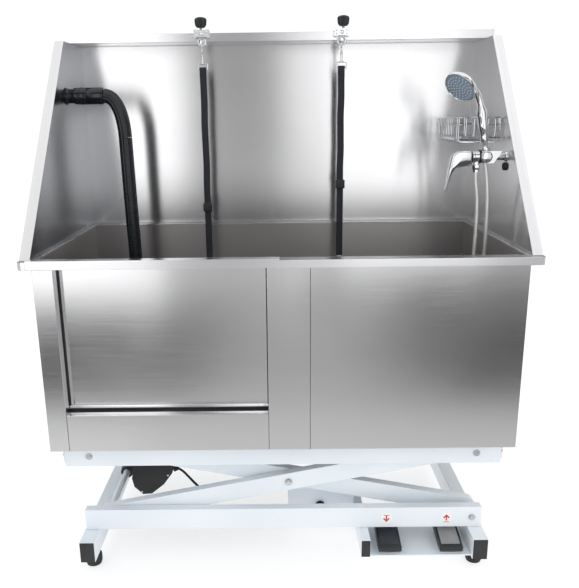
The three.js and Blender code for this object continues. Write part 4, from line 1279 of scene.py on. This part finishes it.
def make_front_cards():
    """Three strips across the front: what the upper panels, the door and sill, and the lift reflect."""
    strips = (
        ("upper_card", 0.8, 3.2, [(0.8, 1.05), (2.2, 1.0), (3.2, 1.1)], [
            (-3.0, 0.7), (-2.3, 0.8), (-2.05, 1.5), (-1.5, 1.6), (-0.84, 1.5), (-0.70, 0.54),
            (-0.56, 0.40), (-0.25, 0.37), (-0.05, 0.41), (0.01, 0.70), (0.12, 0.98), (0.24, 1.15),
            (0.36, 1.1), (0.45, 1.6), (1.2, 1.6), (1.4, 1.15), (1.8, 0.95), (3.0, 0.8)]),
        ("middle_card", 0.33, 0.8, [(0.33, 1.0), (0.6, 1.0), (0.8, 1.0)], [
            (-3.0, 0.7), (-2.3, 0.8), (-2.05, 1.6), (-0.84, 1.55), (-0.70, 0.72), (-0.56, 0.62),
            (-0.25, 0.58), (-0.05, 0.62), (0.01, 0.72), (0.12, 0.85), (0.24, 0.9), (0.36, 0.9),
            (0.45, 1.55), (1.2, 1.5), (1.4, 0.9), (3.0, 0.7)]),
        ("lower_card", 0, 0.33, [(0.0, 0.28), (0.08, 0.42), (0.17, 1.0), (0.33, 1.1)], [
            (-3.0, 0.8), (-1.3, 1.8), (-0.92, 1.75), (-0.74, 1.15), (-0.56, 0.76), (-0.38, 0.66),
            (-0.12, 0.66), (0.1, 0.72), (0.2, 0.5), (0.53, 0.42), (0.71, 0.32), (0.9, 0.20),
            (1.08, 0.15), (1.38, 0.20), (3.0, 0.2)]))
    for name, bottom, top, heights, across in strips:
        light = glow(name, "X", across, "Z", heights)
        upright_card(name, -STUDIO_REACH, STUDIO_REACH, -STUDIO_REACH, bottom, top, light)


def make_floor_cards():
    """Two strips of floor in front of the tub, for the sheets that lean or face down."""
    strips = (
        ("far_floor_card", -STUDIO_REACH, -1.45, [
            (-3.0, 0.5), (-2.7, 0.46), (-2.4, 0.42), (-1.95, 0.40), (-1.7, 0.44), (-1.45, 0.5)], [
            (-3.0, 0.3), (-1.2, 0.12), (-0.94, 0.12), (-0.7, 0.25), (-0.42, 0.6), (-0.14, 0.92),
            (0.1, 1.0), (0.42, 0.8), (0.7, 0.5), (1.0, 0.25), (1.3, 0.2), (3.0, 0.2)]),
        ("near_floor_card", -1.45, -0.75, [
            (-1.45, 0.46), (-1.3, 0.62), (-1.1, 0.66), (-0.9, 0.68), (-0.75, 0.7)], [
            (-3.0, 1.0), (-0.7, 1.15), (-0.4, 1.0), (0.0, 0.95), (0.85, 0.9), (3.0, 0.9)]))
    for name, y0, y1, depths, across in strips:
        level_quad(card, name, STUDIO_REACH, y0, y1, 4 * MM, glow(name, "Y", depths, "X", across))


def make_rear_cards():
    """Soft gradients behind the tub and at its sides, for the sheets that face away from the front."""
    reach, top = 3.8, 3.6
    heights = [(0.0, 0.55), (0.7, 0.62), (1.5, 0.95), (2.2, 1.0), (top, 0.55)]
    across = [(-reach, 0.75), (-1.6, 0.55), (-0.3, 1.0), (1.1, 0.6), (reach, 0.85)]
    behind = glow("rear_card", "X", across, "Z", heights)
    upright_card("rear_card", -reach, reach, reach, 0, top, behind)
    depths = [(-1.1, 0.9), (0.2, 0.55), (1.6, 0.95), (reach, 0.7)]
    aside = glow("side_card", "Y", depths, "Z", heights)
    for side, x in (("left", -reach), ("right", reach)):
        side_card("side_card_" + side, x, -1.1, reach, 0, top, aside)


def quad(name, corners, material):
    mesh = bpy.data.meshes.new(name)
    mesh.from_pydata(corners, [], [(0, 1, 2, 3)])
    mesh.materials.append(material)
    thing = bpy.data.objects.new(name, mesh)
    bpy.context.scene.collection.objects.link(thing)
    return thing


def card(name, corners, material):
    """A card that shows in reflections and nowhere else."""
    thing = quad(name, corners, material)
    thing.visible_camera = False
    thing.visible_diffuse = False
    thing.visible_shadow = False
    thing.visible_transmission = False
    thing.visible_volume_scatter = False


def upright_card(name, x0, x1, y, bottom, top, material):
    """A card that faces along Y."""
    card(name, [(x0, y, bottom), (x1, y, bottom), (x1, y, top), (x0, y, top)], material)


def side_card(name, x, y0, y1, bottom, top, material):
    """A card that faces along X."""
    card(name, [(x, y0, bottom), (x, y1, bottom), (x, y1, top), (x, y0, top)], material)


def level_quad(make, name, reach, y0, y1, z, material):
    """A level quad or card, as wide as its reach to both sides."""
    make(name, [(-reach, y0, z), (reach, y0, z), (reach, y1, z), (-reach, y1, z)], material)


def glow(name, first_axis, first_stops, second_axis, second_stops):
    """Light whose strength varies smoothly with two of the object's axes.

    Each list of stops holds (metres, strength).
    """
    n = Nodes(name)
    peak = 2.0
    where = n.add("ShaderNodeTexCoord")
    split = n.add("ShaderNodeSeparateXYZ")
    n.link(where.outputs["Object"], split.inputs[0])
    product = n.add("ShaderNodeMath", operation="MULTIPLY")
    for k, (stops, axis) in enumerate(((first_stops, first_axis), (second_stops, second_axis))):
        lo, hi = stops[0][0], stops[-1][0]
        ramp = n.add("ShaderNodeFloatCurve")
        curve = ramp.mapping.curves[0]
        places = [((at - lo) / (hi - lo), strength / peak) for at, strength in stops]
        curve.points[0].location = places[0]
        curve.points[-1].location = places[-1]
        for place in places[1:-1]:
            curve.points.new(*place)
        ramp.mapping.update()
        n.link(n.ranged(split.outputs[axis], 0, 1, lo, hi), ramp.inputs["Value"])
        strength = n.add("ShaderNodeMath", operation="MULTIPLY")
        strength.inputs[1].default_value = peak
        n.link(ramp.outputs[0], strength.inputs[0])
        n.link(strength.outputs[0], product.inputs[k])
    light = n.add("ShaderNodeEmission")
    n.link(product.outputs[0], light.inputs["Strength"])
    output = n.tree.nodes["Material Output"]
    n.link(light.outputs[0], output.inputs["Surface"])
    return n.material


make_camera()
make_air_hose()
make_shower_hose()
make_actuator_cable()
make_skins()
make_air_fitting()
make_bolts()
for side, slider_z, ring in (("left", 0.925, False), ("right", 0.991, True)):
    make_strap(side, slider_z, ring)
    make_snap_hook(side)
    make_clamp(side)
    make_knob(side)
make_mixer()
make_handset()
make_basket()
make_end_caps()
make_feet()
make_rollers()
make_actuator()
make_control_box()
make_pedals()
make_stickers()
make_retaining_angles()
make_tub_details()
make_studio()
